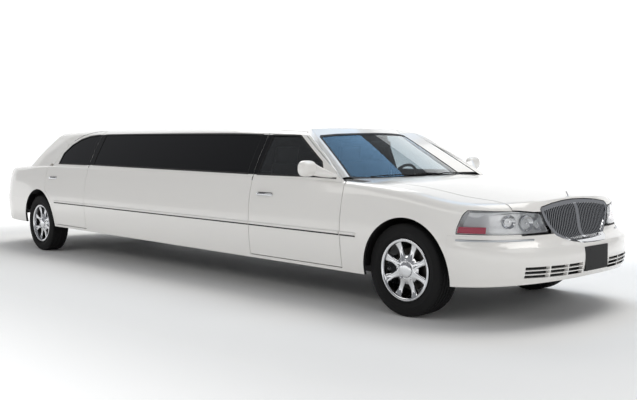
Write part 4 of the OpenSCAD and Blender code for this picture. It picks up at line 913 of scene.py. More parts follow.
def capped(name, profile, centre, axis, steps=48):
    """Turned solid from an open profile that starts and ends on the axis, closed there by a fan about one pole point."""
    p = np.array(profile, float)
    rings, n = p[1:-1], len(p) - 2
    a = np.linspace(0, 2 * np.pi, steps, endpoint=False)[:, None]
    h = np.append((rings[None, :, 1] + 0 * a).ravel(), p[[0, -1], 1])
    c = np.append((rings[None, :, 0] * np.cos(a)).ravel(), [0, 0])
    t = np.append((rings[None, :, 0] * np.sin(a)).ravel(), [0, 0])
    pts = np.stack({"x": (h, c, t), "y": (c, h, t), "z": (c, t, h)}[axis], -1) + np.array(centre, float)
    faces, fans = [], []
    for i in range(steps):
        k = (i + 1) % steps
        faces += [[i * n + j, k * n + j, k * n + j + 1, i * n + j + 1] for j in range(n - 1)]
        fans += [[steps * n, k * n, i * n], [steps * n + 1, i * n + n - 1, k * n + n - 1]]
    return outward(mesh_object(name, pts, faces, fans))


def swept(name, path, section, closed=False, up=(0, 0, 1)):
    """Section [across, up] carried along a path; across is level and square to the path."""
    path, sec = np.array(path, float), np.array(section, float)
    d = np.gradient(path, axis=0)
    if closed:
        d = np.roll(path, -1, 0) - np.roll(path, 1, 0)
    d /= np.linalg.norm(d, axis=1)[:, None]
    side = np.cross(d, np.array(up, float))
    side /= np.linalg.norm(side, axis=1)[:, None]
    top = np.cross(side, d)
    pts = path[:, None] + side[:, None] * sec[None, :, :1] + top[:, None] * sec[None, :, 1:]
    n, m = len(path), len(sec)
    faces = grid_faces(n, m, True)
    if closed:
        j = np.arange(m)
        last = (n - 1) * m
        faces = np.concatenate([faces, np.stack([last + j, last + (j + 1) % m, (j + 1) % m, j], 1)])
        return outward(mesh_object(name, pts, faces))
    return outward(mesh_object(name, pts, faces, [np.arange(m)[::-1], (n - 1) * m + np.arange(m)]))


def oval(w, h, n=16, power=2.0):
    a = np.linspace(0, 2 * np.pi, n, endpoint=False)
    c, s = np.cos(a), np.sin(a)
    return np.stack([w / 2 * np.sign(c) * np.abs(c)**(2 / power), h / 2 * np.sign(s) * np.abs(s)**(2 / power)], 1)


def side_point(x, z, d=0.0):
    """Point of the lower body's right side at x and level height z, d outside the surface."""
    x, z = np.asarray(x, float), np.asarray(z, float)
    return raised(np.stack([x, -(curve(WIDTH, x) - curve(SIDE_WALL, z)) - d, z + 0 * x], -1))


def plan_path(inset, z, x_from, side=-1):
    """Path along the outline seen from above at level height z, inset from it, from the tip round to x_from."""
    p = body_outline(120, 200, 60)
    p = p[:, p[0] > x_from]
    x, y = toward(p, wall_inset(p, z) + inset)
    return raised(np.stack([x, side * y, z + 0 * x], 1))


def finish_panel(obj, name, body, *node_names):
    obj.name = name
    lined(obj)
    return dressed(obj, None, body, node_names)


# ---- body panels ----
finish_panel(body_side_panels(), "side_walls_painted", "body", "body_side_panels")
finish_panel(quarter_panels(), "rear_quarters_painted", "body", "quarter_panels")
finish_panel(roof_panel(), "roof_painted", "body", "roof_panel")
finish_panel(front_fenders(), "front_fenders_painted", "body", "front_fenders")
finish_panel(front_bumper(), "front_bumper_painted", "body", "front_bumper")
finish_panel(rear_bumper(), "rear_bumper_painted", "body", "rear_bumper")
for which, edge in (("front", DOOR0), ("rear", BACK0)):
    right = carved(door(which), ("-", hinge_pockets(edge)))
    right.name = which + "_door_painted_right"
    left = mirrored(right, which + "_door_painted_left")
    finish_panel(right, right.name, which + "_door_right", which + "_door_right")
    finish_panel(left, left.name, which + "_door_left", which + "_door_left")


# ---- hood and lid with their hinge arms ----
def arm_plate(outline, y0, y1):
    return both_sides(across(outline, -y0, -y1))


def with_holes(obj, pin, y0, y1):
    for s in (-1, 1):
        a, b = sorted((s * y0, s * y1))
        hole = cylinder_y(pin[0], pin[1] + RAKE * (XF - pin[0]), 8.1, a, b, 32)
        obj = carved(obj, ("-", hole))
    return obj


HOOD_PIN, LID_PIN = (XF - 742, 950), (LID_FRONT + 150, 950)
arm = arm_plate([[HOOD_PIN[0] - 18, 934], [XF - 560, 934], [XF - 560, 975], [HOOD_PIN[0] - 18, 975]], -722, -732)
hood_obj = with_holes(carved(hood(), ("+", arm)), HOOD_PIN, -745, -715)
finish_panel(hood_obj, "hood_painted", "hood", "hood")
a = np.linspace(0, 2 * np.pi, 24, endpoint=False)
lid_arm = arm_plate(np.stack([LID_PIN[0] + 16 * np.cos(a), LID_PIN[1] + 16 * np.sin(a)], 1), -626, -636)
arm_line = np.array([[0, 0], [-20, -60], [-60, -165], [-150, -150], [-212, -70], [-212, 34]], float)
for p, q in zip(arm_line[:-1], arm_line[1:]):
    d = (q - p) / np.linalg.norm(q - p) * 9
    n = np.array([-d[1], d[0]])
    piece = np.array([p + n - d * 0.4, q + n + d * 0.4, q - n + d * 0.4, p - n - d * 0.4]) + LID_PIN
    lid_arm = carved(lid_arm, ("+", arm_plate(piece, -626, -636)))
lid_obj = with_holes(carved(trunk_lid(), ("+", lid_arm)), LID_PIN, -645, -615)
finish_panel(lid_obj, "trunk_lid_painted", "trunk_lid", "trunk_lid")


# ---- glass ----
def screen(zone, x0, x1, t0=4, t1=10, shrink=6):
    pane = carved(glass_bound(t0), ("-", glass_bound(t1)))
    return carved(pane, ("*", tube(shrink, shrink)), ("*", along(zone, x0, x1)))


def seal_ring(outer, inner, x0, x1, t0=0.5, t1=9):
    ring = carved(glass_bound(t0), ("-", glass_bound(t1)))
    return carved(ring, ("*", tube(1.0, 1.0)), ("*", along(outer, x0, x1)), ("-", along(inner, x0, x1)))


FRONT_RANGE, BACK_RANGE = (XF - 1500, XF), (XR - 1000, XR + 200)
dressed(screen(screen_zone(), *FRONT_RANGE), SCREEN_GLASS, "body", ["windshield"]).name = "windshield_pane"
dressed(screen(back_zone(), *BACK_RANGE), PRIVACY, "body", ["rear_window"]).name = "rear_window_pane"
dressed(seal_ring(screen_zone(2), screen_zone(-13), *FRONT_RANGE), BLACK_PLASTIC).name = "windshield_seal"
dressed(seal_ring(back_zone(2), back_zone(-13), *BACK_RANGE), BLACK_PLASTIC).name = "rear_window_seal"
dressed(both_sides(side_glass(LONG_WINDOW, "pane")), PRIVACY, "body", ["privacy_glass"]).name = "long_privacy_glass"


def window_cover(outline, t0=-1.2, t1=3.0):
    """Thin black cover on the outside of the window band."""
    sheet = carved(tube(t0), ("-", tube(t1)))
    return carved(sheet, ("*", slanted(outline, 90)))


def window_seal(window):
    """Rubber strip about a window, on the outside of the glass."""
    sheet = carved(tube(-1.0), ("-", tube(5.7)))
    return carved(sheet, ("*", slanted(grown(window, 5), 90)), ("-", slanted(grown(window, -9), 90)))


for which, window, glass_mat in (("front", FRONT_WINDOW, FRONT_DOOR_GLASS), ("rear", REAR_WINDOW, PRIVACY)):
    pieces_right = {
        "glass": (side_glass(window, "pane"), glass_mat, [which + "_door_glass_%s"], "privacy_glass"),
        "seal": (window_seal(window), BLACK_PLASTIC, [], None)}
    cover = [[DOOR1 + 1, BELT + 14], [DOOR1 + 1, float(curve(WIN_LINE, DOOR1))], [DOOR1 + 66, float(curve(WIN_LINE, DOOR1 + 66))],
             [DOOR1 + 50, BELT + 14]] if which == "front" else [
        [BACK0 - 56, BELT + 44], [BACK0 - 60, float(curve(WIN_LINE, BACK0 - 60))], [BACK0 - 1, float(curve(WIN_LINE, BACK0))],
        [BACK0 - 1, BELT + 42]]
    pieces_right["pillar_cover"] = (window_cover(cover), PRIVACY, [], None)
    for kind, (obj, mat, nodes_for, slot_name) in pieces_right.items():
        twin = mirrored(obj, f"{which}_door_{kind}_left_outer")
        obj.name = f"{which}_door_{kind}_right_outer"
        dressed(obj, mat, which + "_door_right", [n % "right" for n in nodes_for])
        dressed(twin, mat, which + "_door_left", [n % "left" for n in nodes_for])
for name, outline in (
        ("front_pillar_cover", [[DOOR1 - 7, BELT + 14], [DOOR1 - 7, float(curve(WIN_LINE, DOOR1 - 7))],
                                [DOOR1 - 90, float(curve(WIN_LINE, DOOR1 - 90))], [DOOR1 - 90, BELT + 16]]),
        ("rear_pillar_cover", [[BACK0 + 7, BELT + 42], [BACK0 + 7, float(curve(WIN_LINE, BACK0 + 7))],
                               [BACK0 + 90, float(curve(WIN_LINE, BACK0 + 90))], [BACK0 + 90, BELT + 46]])):
    dressed(both_sides(window_cover(outline)), PRIVACY).name = name
dressed(both_sides(window_seal(LONG_WINDOW)), BLACK_PLASTIC).name = "long_window_seal"


# ---- lamps ----
def lamp_layer(zone, t0, t1, name):
    layer = carved(lower_body(t0, name=name), ("-", lower_body(t1, 60)))
    return carved(layer, ("*", zone), ("-", FRONT_LOW_ROOM), ("-", GRILLE))


lens = lamp_layer(both_sides(lamp_zone(-0.4)), 0.5, 4.5, "headlamp_lens")
dressed(lens, LAMP_CLEAR, "body", ["headlamps"]).name = "headlamp_lens"
housing = carved(lamp_layer(both_sides(lamp_zone(-0.6)), 5.0, 57, "housing"),
                 ("-", carved(carved(lower_body(0), ("-", lower_body(52, 60))), ("*", both_sides(lamp_zone(-7))))))
dressed(housing, LAMP_INSIDE).name = "headlamp_housing"
border = carved(lamp_layer(both_sides(lamp_zone(-0.4)), 4.6, 9, "border"), ("-", both_sides(lamp_zone(-4.5))))
dressed(border, GLOSS_BLACK).name = "headlamp_border"


def bowl(name, centre, r, depth, heading):
    """Lamp reflector: a thin paraboloid of radius r whose axis points along heading in plan."""
    u = np.linspace(0, 1, 12)
    inner = np.stack([r * u, -depth * (1 - u**2)], 1)
    outer = np.stack([r * u[::-1] + 2, -depth * (1 - u[::-1]**2) - 2], 1)
    obj = capped(name, np.concatenate([inner, outer]), (0, 0, 0), "x", 40)
    turn = Matrix.Rotation(math.radians(heading), 4, "Z")
    obj.data.transform(Matrix.Translation(np.array(centre) / 1000) @ turn)
    return outward(obj)


bowls = []
for y, z, r, heading, inset in ((-560, 716, 44, -14, 34), (-668, 722, 54, -22, 36), (-790, 735, 46, -34, 34)):
    ring = body_outline(400, 200, 60)
    k = int(np.argmin(np.abs(ring[1] + y) + 1000 * (ring[0] < NOSE_X)))
    px, py = toward(ring[:, k:k + 1], wall_inset(ring[:, k:k + 1], z) + inset)
    b = bowl("bowl", raised([[px[0], -py[0], z]])[0], r, 24, heading)
    bulb = capped("bulb", [[0, -22], [5, -21], [6.5, -10], [5, -4], [0, -2]], (0, 0, 0), "x", 16)
    bulb.data.transform(Matrix.Translation(raised([[px[0], -py[0], z]])[0] / 1000) @ Matrix.Rotation(math.radians(heading), 4, "Z"))
    bowls += [b, bulb]
limit = carved(carved(lower_body(7), ("-", lower_body(51, 60))), ("*", lamp_zone(-8)))
reflectors = both_sides(carved(joined("reflectors", bowls[0::2]), ("*", limit)))
dressed(reflectors, REFLECTOR).name = "headlamp_reflectors"
dressed(both_sides(joined("bulbs", bowls[1::2])), CHROME).name = "headlamp_bulbs"
rose = carved(carved(lower_body(9), ("-", lower_body(14, 60))),
              ("*", across([[XF + 500, 655], [XF + 500, 702], [XF + 672, 702], [XF + 672, 655]], 0, 1100)), ("*", lamp_zone(-8)))
dressed(both_sides(rose), REFLECTOR_RED).name = "lamp_side_reflector"
tails = carved(carved(lower_body(1.0), ("-", lower_body(46, 60))), ("*", both_sides(tail_zone(-0.4))), ("-", REAR_LOW_ROOM), ("-", LID_ROOM))
dressed(tails, LAMP_RED, "body", ["tail_lamps"]).name = "tail_lamp_lens"


# ---- grille ----
def in_grille(t0, t1, outline_steps, name):
    layer = carved(lower_body(t0, name=name), ("-", lower_body(t1, 60)))
    for sign, g in outline_steps:
        layer = carved(layer, (sign, along(grille_zone(g), XF + 600, XF + 1100)))
    return layer


surround = in_grille(0.6, 40, (("*", 0), ("-", -24)), "grille_surround")
dressed(surround, CHROME, "body", ["grille"]).name = "grille_surround"
dressed(in_grille(34, 42, (("*", -2),), "grille_back"), GLOSS_BLACK).name = "grille_back_panel"
bars = [along([[y - w, 500], [y + w, 500], [y + w, 900], [y - w, 900]], XF + 600, XF + 1100)
        for y, w in [(22 * i, 4.5) for i in range(-20, 21) if i] + [(0, 15)]]
fine = carved(in_grille(7, 34, (("*", -22),), "grille_bars"), ("*", joined("bars", bars)))
dressed(fine, CHROME).name = "grille_bars"


# ---- mouldings, handles, strips and small trim ----
def moulding(x0, x1, z0, z1, name):
    """Side rub strip: a rounded bar half sunk in the side."""
    x = np.concatenate([[x0, x0 + 3, x0 + 10], np.linspace(x0 + 30, x1 - 30, 60), [x1 - 10, x1 - 3, x1]])
    z = z0 + (z1 - z0) * (x - x0) / (x1 - x0)
    path = side_point(x, z, -3.0)
    sec = oval(26, 26, 16, 2.6)
    obj = swept(name, path, sec)
    return obj


# Painted shadow: a black strip just under the moulding, where the moulding's own shadow falls.
def painted_shadow_line(x0, x1, z0, z1, name):
    x = np.linspace(x0 + 2, x1 - 2, 60)
    z = z0 + (z1 - z0) * (x - x0) / (x1 - x0) - 17.0
    return swept(name, side_point(x, z, -0.5), oval(13, 11, 12, 3.0))


MOULD_Z = [[XR - 300, 588], [XF - 3300, 588], [XF - 1700, 587], [XF - 400, 584]]
mould_at = lambda x: float(curve(MOULD_Z, x))
STRIPS = [("fender", DOOR0 + 9, XF - 425, "body"), ("front_door", DOOR1 + 1, DOOR0 - 3, "front_door"),
          ("long", BACK0 + 9, DOOR1 - 7, "body"), ("rear_door", XR + 505, BACK0 - 3, "rear_door")]
for name, x0, x1, where in STRIPS:
    right = moulding(x0, x1, mould_at(x0), mould_at(x1), name + "_moulding_right")
    dark = painted_shadow_line(x0, x1, mould_at(x0), mould_at(x1), name + "_moulding_line_right")
    # dark is the black strip of painted shadow under each moulding
    for obj, mat in ((right, PAINT), (dark, BLACK_PLASTIC)):
        left = mirrored(obj, obj.name.replace("right", "left"))
        dressed(obj, mat, where if where == "body" else where + "_right")
        dressed(left, mat, where if where == "body" else where + "_left")


def handle(x0, x1, z, name):
    """Pull handle: a bow that leaves the door, runs level and comes back; behind it lies a dished dark plate."""
    u = np.linspace(0, 1, 26)
    x = x0 + (x1 - x0) * u
    lift = 4 + 20 * np.clip(np.sin(np.pi * u), 0, 1)**0.4
    path = side_point(x, z + 0 * x, 0.0)
    path[:, 1] -= lift
    bow_piece = swept(name, path, oval(10, 22, 14, 3.0))
    pad = side_point(np.linspace(x0 + 12, x1 - 12, 12), z + np.zeros(12), -5.0)
    return bow_piece, swept(name + "_pan", pad, oval(13, 34, 14, 2.4))


for which, x0, x1, z in (("front", XF - 1636, XF - 1424, 842), ("rear", XR + 345, XR + 545, 866)):
    bow_piece, pan = handle(x0, x1, z, which + "_handle_right")
    for obj, mat in ((bow_piece, CHROME), (pan, GLOSS_BLACK)):
        left = mirrored(obj, obj.name.replace("right", "left"))
        dressed(obj, mat, which + "_door_right")
        dressed(left, mat, which + "_door_left")

strip_path = plan_path(-1.0, 612, XF + 500)
strip = swept("bumper_strip", strip_path[strip_path[:, 1] < -560], oval(9, 15, 12, 3.0))
dressed(both_sides(strip), ALUMINIUM).name = "front_bumper_strips"
rear_line = body_outline(60, 100, 160)
rear_line = rear_line[:, rear_line[0] < XR - 640]
rx, ry = toward(rear_line, wall_inset(rear_line, 560.0) + 4.5)
tail_strip = swept("tail_strip", raised(np.stack([rx, -ry, 560 + 0 * rx], 1)), oval(8, 20, 12, 3.0))
dressed(both_sides(tail_strip), ALUMINIUM).name = "rear_bumper_strips"


def slot_backs():
    """Dark wall behind the lower grille's slots."""
    wall = carved(lower_body(30.5, name="slot_back"), ("-", lower_body(36, 60)))
    return carved(wall, ("*", block((XF + 500, -715, 350), (XF + 1200, 715, 448))),
                  ("-", block((XF + 500, -160, 340), (XF + 1300, 160, 560))))


dressed(slot_backs(), BLACK_PLASTIC).name = "lower_grille_back"

# Hood ornament: a plain upright blade on a small round foot
foot_x = XF + 800
foot_z = float(top_z(np.array(foot_x), np.array(0.0))) - 1
foot = capped("foot", [[0, 0], [11, 0], [11, 3], [6, 6], [0, 7]], raised([[foot_x, 0, foot_z]])[0], "z", 24)
blade = swept("blade", raised([[foot_x - 0.6 * t, 0, foot_z + 4 + t] for t in range(0, 32, 3)]),
              oval(3.0, 10, 12, 2.0), up=(1, 0, 0))
dressed(joined("hood_ornament", [foot, blade]), CHROME, "hood")


# ---- door mirrors ----
def mirror_shell():
    """Rounded housing: super-oval sections carried backwards and outwards, closed at both ends."""
    u = np.linspace(0, 1, 22)
    x = DOOR0 - 232 - 66 * u + 24
    w = 174 * np.sin(np.pi * np.clip(0.06 + 0.5 * u**0.75, 0, 0.5))**0.6
    h = 128 * np.sin(np.pi * np.clip(0.08 + 0.5 * u**0.75, 0, 0.5))**0.6
    a = np.linspace(0, 2 * np.pi, 48, endpoint=False)
    c, s = np.cos(a), np.sin(a)
    y = -1075 + w[:, None] / 2 * np.sign(c) * np.abs(c)**0.75
    z = 1078 + h[:, None] / 2 * np.sign(s) * np.abs(s)**0.75
    pts = raised(np.stack([x[:, None] + 0 * y, y, z], -1))
    n = len(a)
    faces = grid_faces(len(u), n, True)
    return outward(mesh_object("mirror", pts, faces, [np.arange(n), (len(u) - 1) * n + np.arange(n)]))


def sail():
    """Arm from the housing to the corner of the side glass: a tapering lofted wedge."""
    u = np.linspace(0, 1, 14)
    y = -1034 + 136 * u
    x0, x1 = DOOR0 - 290 - 6 * u, DOOR0 - 222 + 150 * u
    z0, z1 = 1024 - 26 * u, 1132 - 104 * u**0.9
    a = np.linspace(0, 2 * np.pi, 28, endpoint=False)
    c, s = np.cos(a), np.sin(a)
    x = (x0 + x1)[:, None] / 2 + (x1 - x0)[:, None] / 2 * np.sign(c) * np.abs(c)**0.6
    z = (z0 + z1)[:, None] / 2 + (z1 - z0)[:, None] / 2 * np.sign(s) * np.abs(s)**0.6
    pts = raised(np.stack([x, y[:, None] + 0 * x, z], -1))
    n = len(a)
    return outward(mesh_object("sail", pts, grid_faces(len(u), n, True), [np.arange(n), (len(u) - 1) * n + np.arange(n)]))


glass_face = swept("mirror_glass", raised([[DOOR0 - 275.5, -1075, 1078], [DOOR0 - 277.5, -1075, 1078]]),
                   oval(150, 100, 40, 3.0))
arm_piece = carved(sail(), ("-", tube(-0.3)), ("-", block((-4600, -900, 0), (4600, 0, 990))))
housing_right = mirror_shell()
gasket = swept("mirror_gasket", raised([[DOOR0 - 318, -914, 1004], [DOOR0 - 200, -916, 1003], [DOOR0 - 96, -917, 1000]]),
               oval(14, 9, 12))
for obj, mat, nodes_for in ((housing_right, PAINT, ["door_mirror_%s"]), (arm_piece, PAINT, []),
                            (glass_face, MIRROR_SILVER, []), (gasket, BLACK_PLASTIC, [])):
    obj.name += "_right"
    left = mirrored(obj, obj.name.replace("right", "left"))
    dressed(obj, mat, "front_door_right", [n % "right" for n in nodes_for])
    dressed(left, mat, "front_door_left", [n % "left" for n in nodes_for])


# ---- wheels and tyres ----
TYRE_W, RIM_R, RIM_W, SPOKES = 225.0, 231.0, 205.0, 8


def tyre(name, centre):
    """Tyre: a closed profile turned about Y; the tread's cross grooves are dips that repeat round the ring."""
    w, b = TYRE_W / 2, RIM_W / 2 - 13
    side = [[RIM_R - 9.5, b - 1], [RIM_R + 3, b + 1], [RIM_R + 8, b + 4], [RIM_R + 12, b + 9], [RIM_R + 15, b + 9],
            [RIM_R + 18, b + 13], [RIM_R + 36, w - 3], [RIM_R + 48, w - 1.4], [RIM_R + 50, w - 0.2], [RIM_R + 53, w - 0.2],
            [RIM_R + 55, w - 1.0], [RIM_R + 72, w - 1.6], [TYRE_R - 22, w - 6.5], [TYRE_R - 12, w - 10.5],
            [TYRE_R - 6, w - 15], [TYRE_R - 2.5, w - 23], [TYRE_R - 0.8, w - 34]]
    tread, y = [], w - 34
    for rib, groove in ((14, 9), (24, 10), (24, 9), (24, 10), (24, 9)):
        tread += [[TYRE_R - 0.5, y], [TYRE_R - 0.3, y - 0.5 * rib], [TYRE_R - 0.5, y - rib], [TYRE_R - 8, y - rib - 1],
                  [TYRE_R - 8, y - rib - groove + 1]]
        y -= rib + groove
    tread = [t for t in tread if t[1] > 34 - w]
    profile = side + tread + [[r, -h] for r, h in reversed(side)]
    inner = [[RIM_R - 9.5, -b + 14], [RIM_R + 40, -w + 22], [TYRE_R - 24, -w + 34], [TYRE_R - 24, w - 34],
             [RIM_R + 40, w - 22], [RIM_R - 9.5, b - 14]]

    def cross_grooves(a, h, r):
        skew = a + h * 0.0022
        cut = np.clip((np.cos(skew * 64) - 0.86) / 0.1, 0, 1)
        return -5.5 * cut * ((r > TYRE_R - 4) & (np.abs(h) > 22))
    return revolved(name, profile + inner, centre, "y", 384, cross_grooves)


def wheel(name, centre, s):
    """Wheel with eight spokes: barrel, face ring, spokes that narrow to the rim, cap and nuts. s is the outer side."""
    w, c = RIM_W / 2, np.array(centre, float)
    flip = lambda prof: [[r, s * h] for r, h in prof]
    barrel = revolved("barrel", flip([
        [RIM_R - 24, -w + 1], [RIM_R - 8, -w + 0.5], [RIM_R - 1, -w + 3], [RIM_R - 1, -w + 7], [RIM_R - 11.5, -w + 13],
        [RIM_R - 15, -w + 60], [RIM_R - 15, w - 50], [RIM_R - 11.5, w - 13], [RIM_R - 1, w - 7], [RIM_R - 0.5, w - 2.5],
        [RIM_R - 4, w - 0.4], [RIM_R - 12, w - 1], [RIM_R - 21, w - 5], [RIM_R - 24, w - 12], [RIM_R - 24, w - 60],
        [RIM_R - 24, -w + 30]]), centre, "y", 120)
    disc = capped("disc", flip([[0, w - 56], [104, w - 60], [112, w - 52], [108, w - 38], [90, w - 28], [60, w - 24],
                                [0, w - 24]]), centre, "y", 96)
    cap = capped("cap", flip([[0, w - 26], [57, w - 26], [59, w - 21], [56, w - 15.5], [48, w - 12.8], [30, w - 11],
                              [0, w - 10.4]]), centre, "y", 72)
    parts = [barrel, disc, cap]
    # one spoke: a lofted bar whose width narrows and then spreads into the rim
    r = np.linspace(72, RIM_R - 19, 16)
    v = (r - 72) / (RIM_R - 91)
    half = 31 - 13 * np.sin(np.pi * np.clip(v * 0.62, 0, 0.5)) + 13 * np.clip(v - 0.5, 0, 1)**1.2 * 2.6
    face = w - 24 - 13 * np.sin(np.pi * v * 0.55) + 16 * v**3
    back = face - 22
    sec_t = np.array([[-1, 0], [-0.92, 0.72], [-0.66, 0.98], [-0.3, 0.9], [0, 0.84], [0.3, 0.9], [0.66, 0.98],
                      [0.92, 0.72], [1, 0], [0.9, -1], [-0.9, -1]])
    tang = half[:, None] * sec_t[None, :, 0]
    deep = np.where(sec_t[None, :, 1] >= 0, face[:, None] - 9 + 9 * sec_t[None, :, 1], back[:, None] + 0 * tang)
    for i in range(SPOKES):
        q = (i + 0.5) * 2 * np.pi / SPOKES
        rad = r[:, None] + 0 * tang
        pts = np.stack([rad * np.cos(q) - tang * np.sin(q), s * deep, rad * np.sin(q) + tang * np.cos(q)], -1) + c
        n = len(sec_t)
        parts.append(outward(mesh_object("spoke", pts, grid_faces(len(r), n, True),
                                         [np.arange(n), (len(r) - 1) * n + np.arange(n)])))
    for i in range(5):
        q = i * 2 * np.pi / 5 + 0.3
        at = c + [76 * np.cos(q), 0, 76 * np.sin(q)]
        parts.append(capped("nut", flip([[0, w - 40], [10, w - 40], [10, w - 24], [7.5, w - 17], [0, w - 15]]), at, "y", 6))
    hub = capped("hub_core", flip([[0, -10], [50, -10], [50, w - 55], [0, w - 55]]), centre, "y", 48)
    for part in parts[1:] + [hub]:
        parts[0] = carved(parts[0], ("+", part))
    bore = capped("bore", flip([[0, -30], [22.3, -30], [22.3, 74], [0, 74]]), centre, "y", 48)
    obj = carved(parts[0], ("-", bore))
    obj.name = name
    return obj


for end, x, track in (("front", XF, FRONT_TRACK), ("rear", XR, REAR_TRACK)):
    for hand, s in (("right", -1), ("left", 1)):
        at = (x, s * track, HUB_Z)
        body_name = f"{end}_wheel_{hand}"
        dressed(tyre(f"{end}_tyre_{hand}", at), TYRE_RUBBER, body_name, [f"tyre_{end}_{hand}"], 40)
        dressed(wheel(f"{end}_wheel_face_{hand}", at, s), WHEEL_CHROME, body_name, [f"wheel_{end}_{hand}"], 38)
        # ventilated disc between hub and barrel; the front ones sit further out, clear of the arms at full lock
        out = 12 if end == "front" else 0
        rotor = revolved("rotor", [[r, s * (y + out)] for r, y in (
            (60, 8), (156, 8), (156, 2), (150, 1), (150, -3), (156, -4), (156, -10), (60, -10))], at, "y", 96)
        dressed(rotor, IRON, body_name).name = f"{end}_brake_disc_{hand}"


# ---- cabin: seats, trim and dash ----
def cushion(name, lo, hi, crown, channels=0, side_pull=10, density=26):
    """Closed crowned pad in a box: a super-oval plan whose sides pull in, a crowned upper face with sewn channels.
    Height over the plan is the box height times a rounded bump, less a narrow dip at each seam line."""
    lo, hi = np.array(lo, float), np.array(hi, float)
    n = density
    t = np.linspace(-1, 1, n)
    t = np.sign(t) * (1 - (1 - np.abs(t))**1.6)
    u, v = np.meshgrid(t, t, indexing="ij")
    size = (hi - lo) / 2
    edge = (1 - np.abs(u)**6) * (1 - np.abs(v)**6)
    bump = np.clip(edge, 0, 1)**0.32
    dome = (1 - u**2 * 0.7) * (1 - v**2 * 0.7)
    seam = np.zeros_like(u)
    for k in range(1, channels + 1):
        at = -1 + 2 * k / (channels + 1)
        seam += np.exp(-((v - at) / 0.035)**2)
    thick = hi[2] - lo[2]
    top = lo[2] + (thick - crown) * bump + crown * dome * bump - 9 * seam * bump
    bottom = lo[2] + 0.16 * thick * (1 - bump)
    pull = 1 - side_pull / size.max() * (1 - np.abs(u * v)) * 0.5
    x = lo[0] + size[0] * (1 + u * pull)
    y = lo[1] + size[1] * (1 + v * pull)
    grid = np.arange(n * n).reshape(n, n)
    q = np.stack([grid[:-1, :-1], grid[1:, :-1], grid[1:, 1:], grid[:-1, 1:]], -1).reshape(-1, 4)
    rim = np.concatenate([grid[0], grid[1:, -1], grid[-1, -2::-1], grid[-2:0:-1, 0]])
    m = n * n
    nxt = np.roll(rim, -1)
    pts = np.concatenate([np.stack([x, y, top], -1).reshape(-1, 3), np.stack([x, y, bottom], -1).reshape(-1, 3)])
    faces = np.concatenate([q, q[:, ::-1] + m, np.stack([rim, nxt, nxt + m, rim + m], 1)])
    return mesh_object(name, pts, faces)


def rake_pad(obj):
    co = np.empty(len(obj.data.vertices) * 3)
    obj.data.vertices.foreach_get("co", co)
    co = raised(co.reshape(-1, 3) * 1000) / 1000
    obj.data.vertices.foreach_set("co", co.ravel())
    return outward(obj)


def upholstered(obj, nodes_for=()):
    rake_pad(obj)
    sub = obj.modifiers.new("soft", "SUBSURF")
    sub.levels = sub.render_levels = 1
    dressed(obj, LEATHER, "body", nodes_for, 60)
    return obj


def turned_pad(name, x0, y0, y1, z0, length, thick, degrees, crown=22, channels=3):
    """Back cushion: a pad laid flat, stood up and leaned back by degrees from upright."""
    pad = cushion(name, (0, y0, 0), (length, y1, thick), crown, channels=channels)
    pad.data.transform(Matrix.Translation((x0 / 1000, 0, z0 / 1000)) @ Matrix.Rotation(math.radians(-90 - degrees), 4, "Y"))
    return pad


for k, (y0, hand) in enumerate(((-780, "right"), (48, "left"))):
    seat = cushion(f"front_seat_cushion_{hand}", (XF - 1846, y0, 506), (XF - 1396, y0 + 730, 634), 26, channels=3)
    upholstered(seat, ["front_seats"] if k == 0 else [])
    back = turned_pad(f"front_seat_back_{hand}", XF - 1745, y0 + 16, y0 + 714, 566, 545, 104, -12)
    upholstered(back)
    head = turned_pad(f"front_headrest_{hand}", XF - 1858, y0 + 230, y0 + 500, 1092, 150, 70, -10, 16, 0)
    upholstered(head)
    base_y = (y0 + 70, y0 + 640) if hand == "right" else (y0 + 60, y0 + 640)
    base = softened([[XF - 1812, 334], [XF - 1458, 334], [XF - 1458, 500], [XF - 1812, 500]], 16)
    plinth = across(base, -base_y[1], -base_y[0])
    dressed(plinth, BLACK_PLASTIC).name = f"front_seat_plinth_{hand}"

bench_x0, bench_x1 = XR + 1506, XF - 2406
step = (bench_x1 - bench_x0) / 4
for k in range(4):
    x0, x1 = bench_x0 + step * k + 2, bench_x0 + step * (k + 1) - 2
    pad = cushion(f"side_bench_cushion_{k + 1}", (x0, 336, 470), (x1, 786, 598), 24, channels=0)
    upholstered(pad, ["lounge_seats"] if k == 0 else [])
    back = cushion(f"side_bench_back_{k + 1}", (0, 0, 0), (x1 - x0, 340, 66), 20)
    back.data.transform(Matrix.Translation((x0 / 1000, 0.794, 0.604)) @ Matrix.Rotation(math.radians(90), 4, "X")
                        @ Matrix.Translation((0, 0, -0.066)))
    upholstered(back)
dressed(across(softened([[bench_x0, 334], [bench_x1, 334], [bench_x1, 468], [bench_x0, 468]], 12), -786, -350),
        BLACK_PLASTIC).name = "side_bench_plinth"
for k, (y0, y1) in enumerate(((-656, -222), (-218, 218), (222, 656))):
    pad = cushion(f"rear_bench_cushion_{k + 1}", (XR - 24, y0, 594), (XR + 436, y1, 726), 26, channels=1)
    upholstered(pad)
    back = turned_pad(f"rear_bench_back_{k + 1}", XR + 50, y0, y1, 640, 420, 100, -20, channels=1)
    upholstered(back)

# rear-view mirror on the windshield
mirror_box = swept("rear_view_mirror", raised([[XF - 1066, -118, 1258], [XF - 1066, 118, 1258]]), oval(22, 58, 20, 3.0), up=(0, 0, 1))
dressed(mirror_box, BLACK_PLASTIC).name = "rear_view_mirror"
stem = swept("mirror_stem", raised([[XF - 1058, 0, 1268], [XF - 1048, 0, 1290], [screen_x(0, 1310) - 16, 0, 1306]]), oval(12, 12, 10),
             up=(0, 1, 0))
dressed(stem, BLACK_PLASTIC).name = "rear_view_mirror_stem"


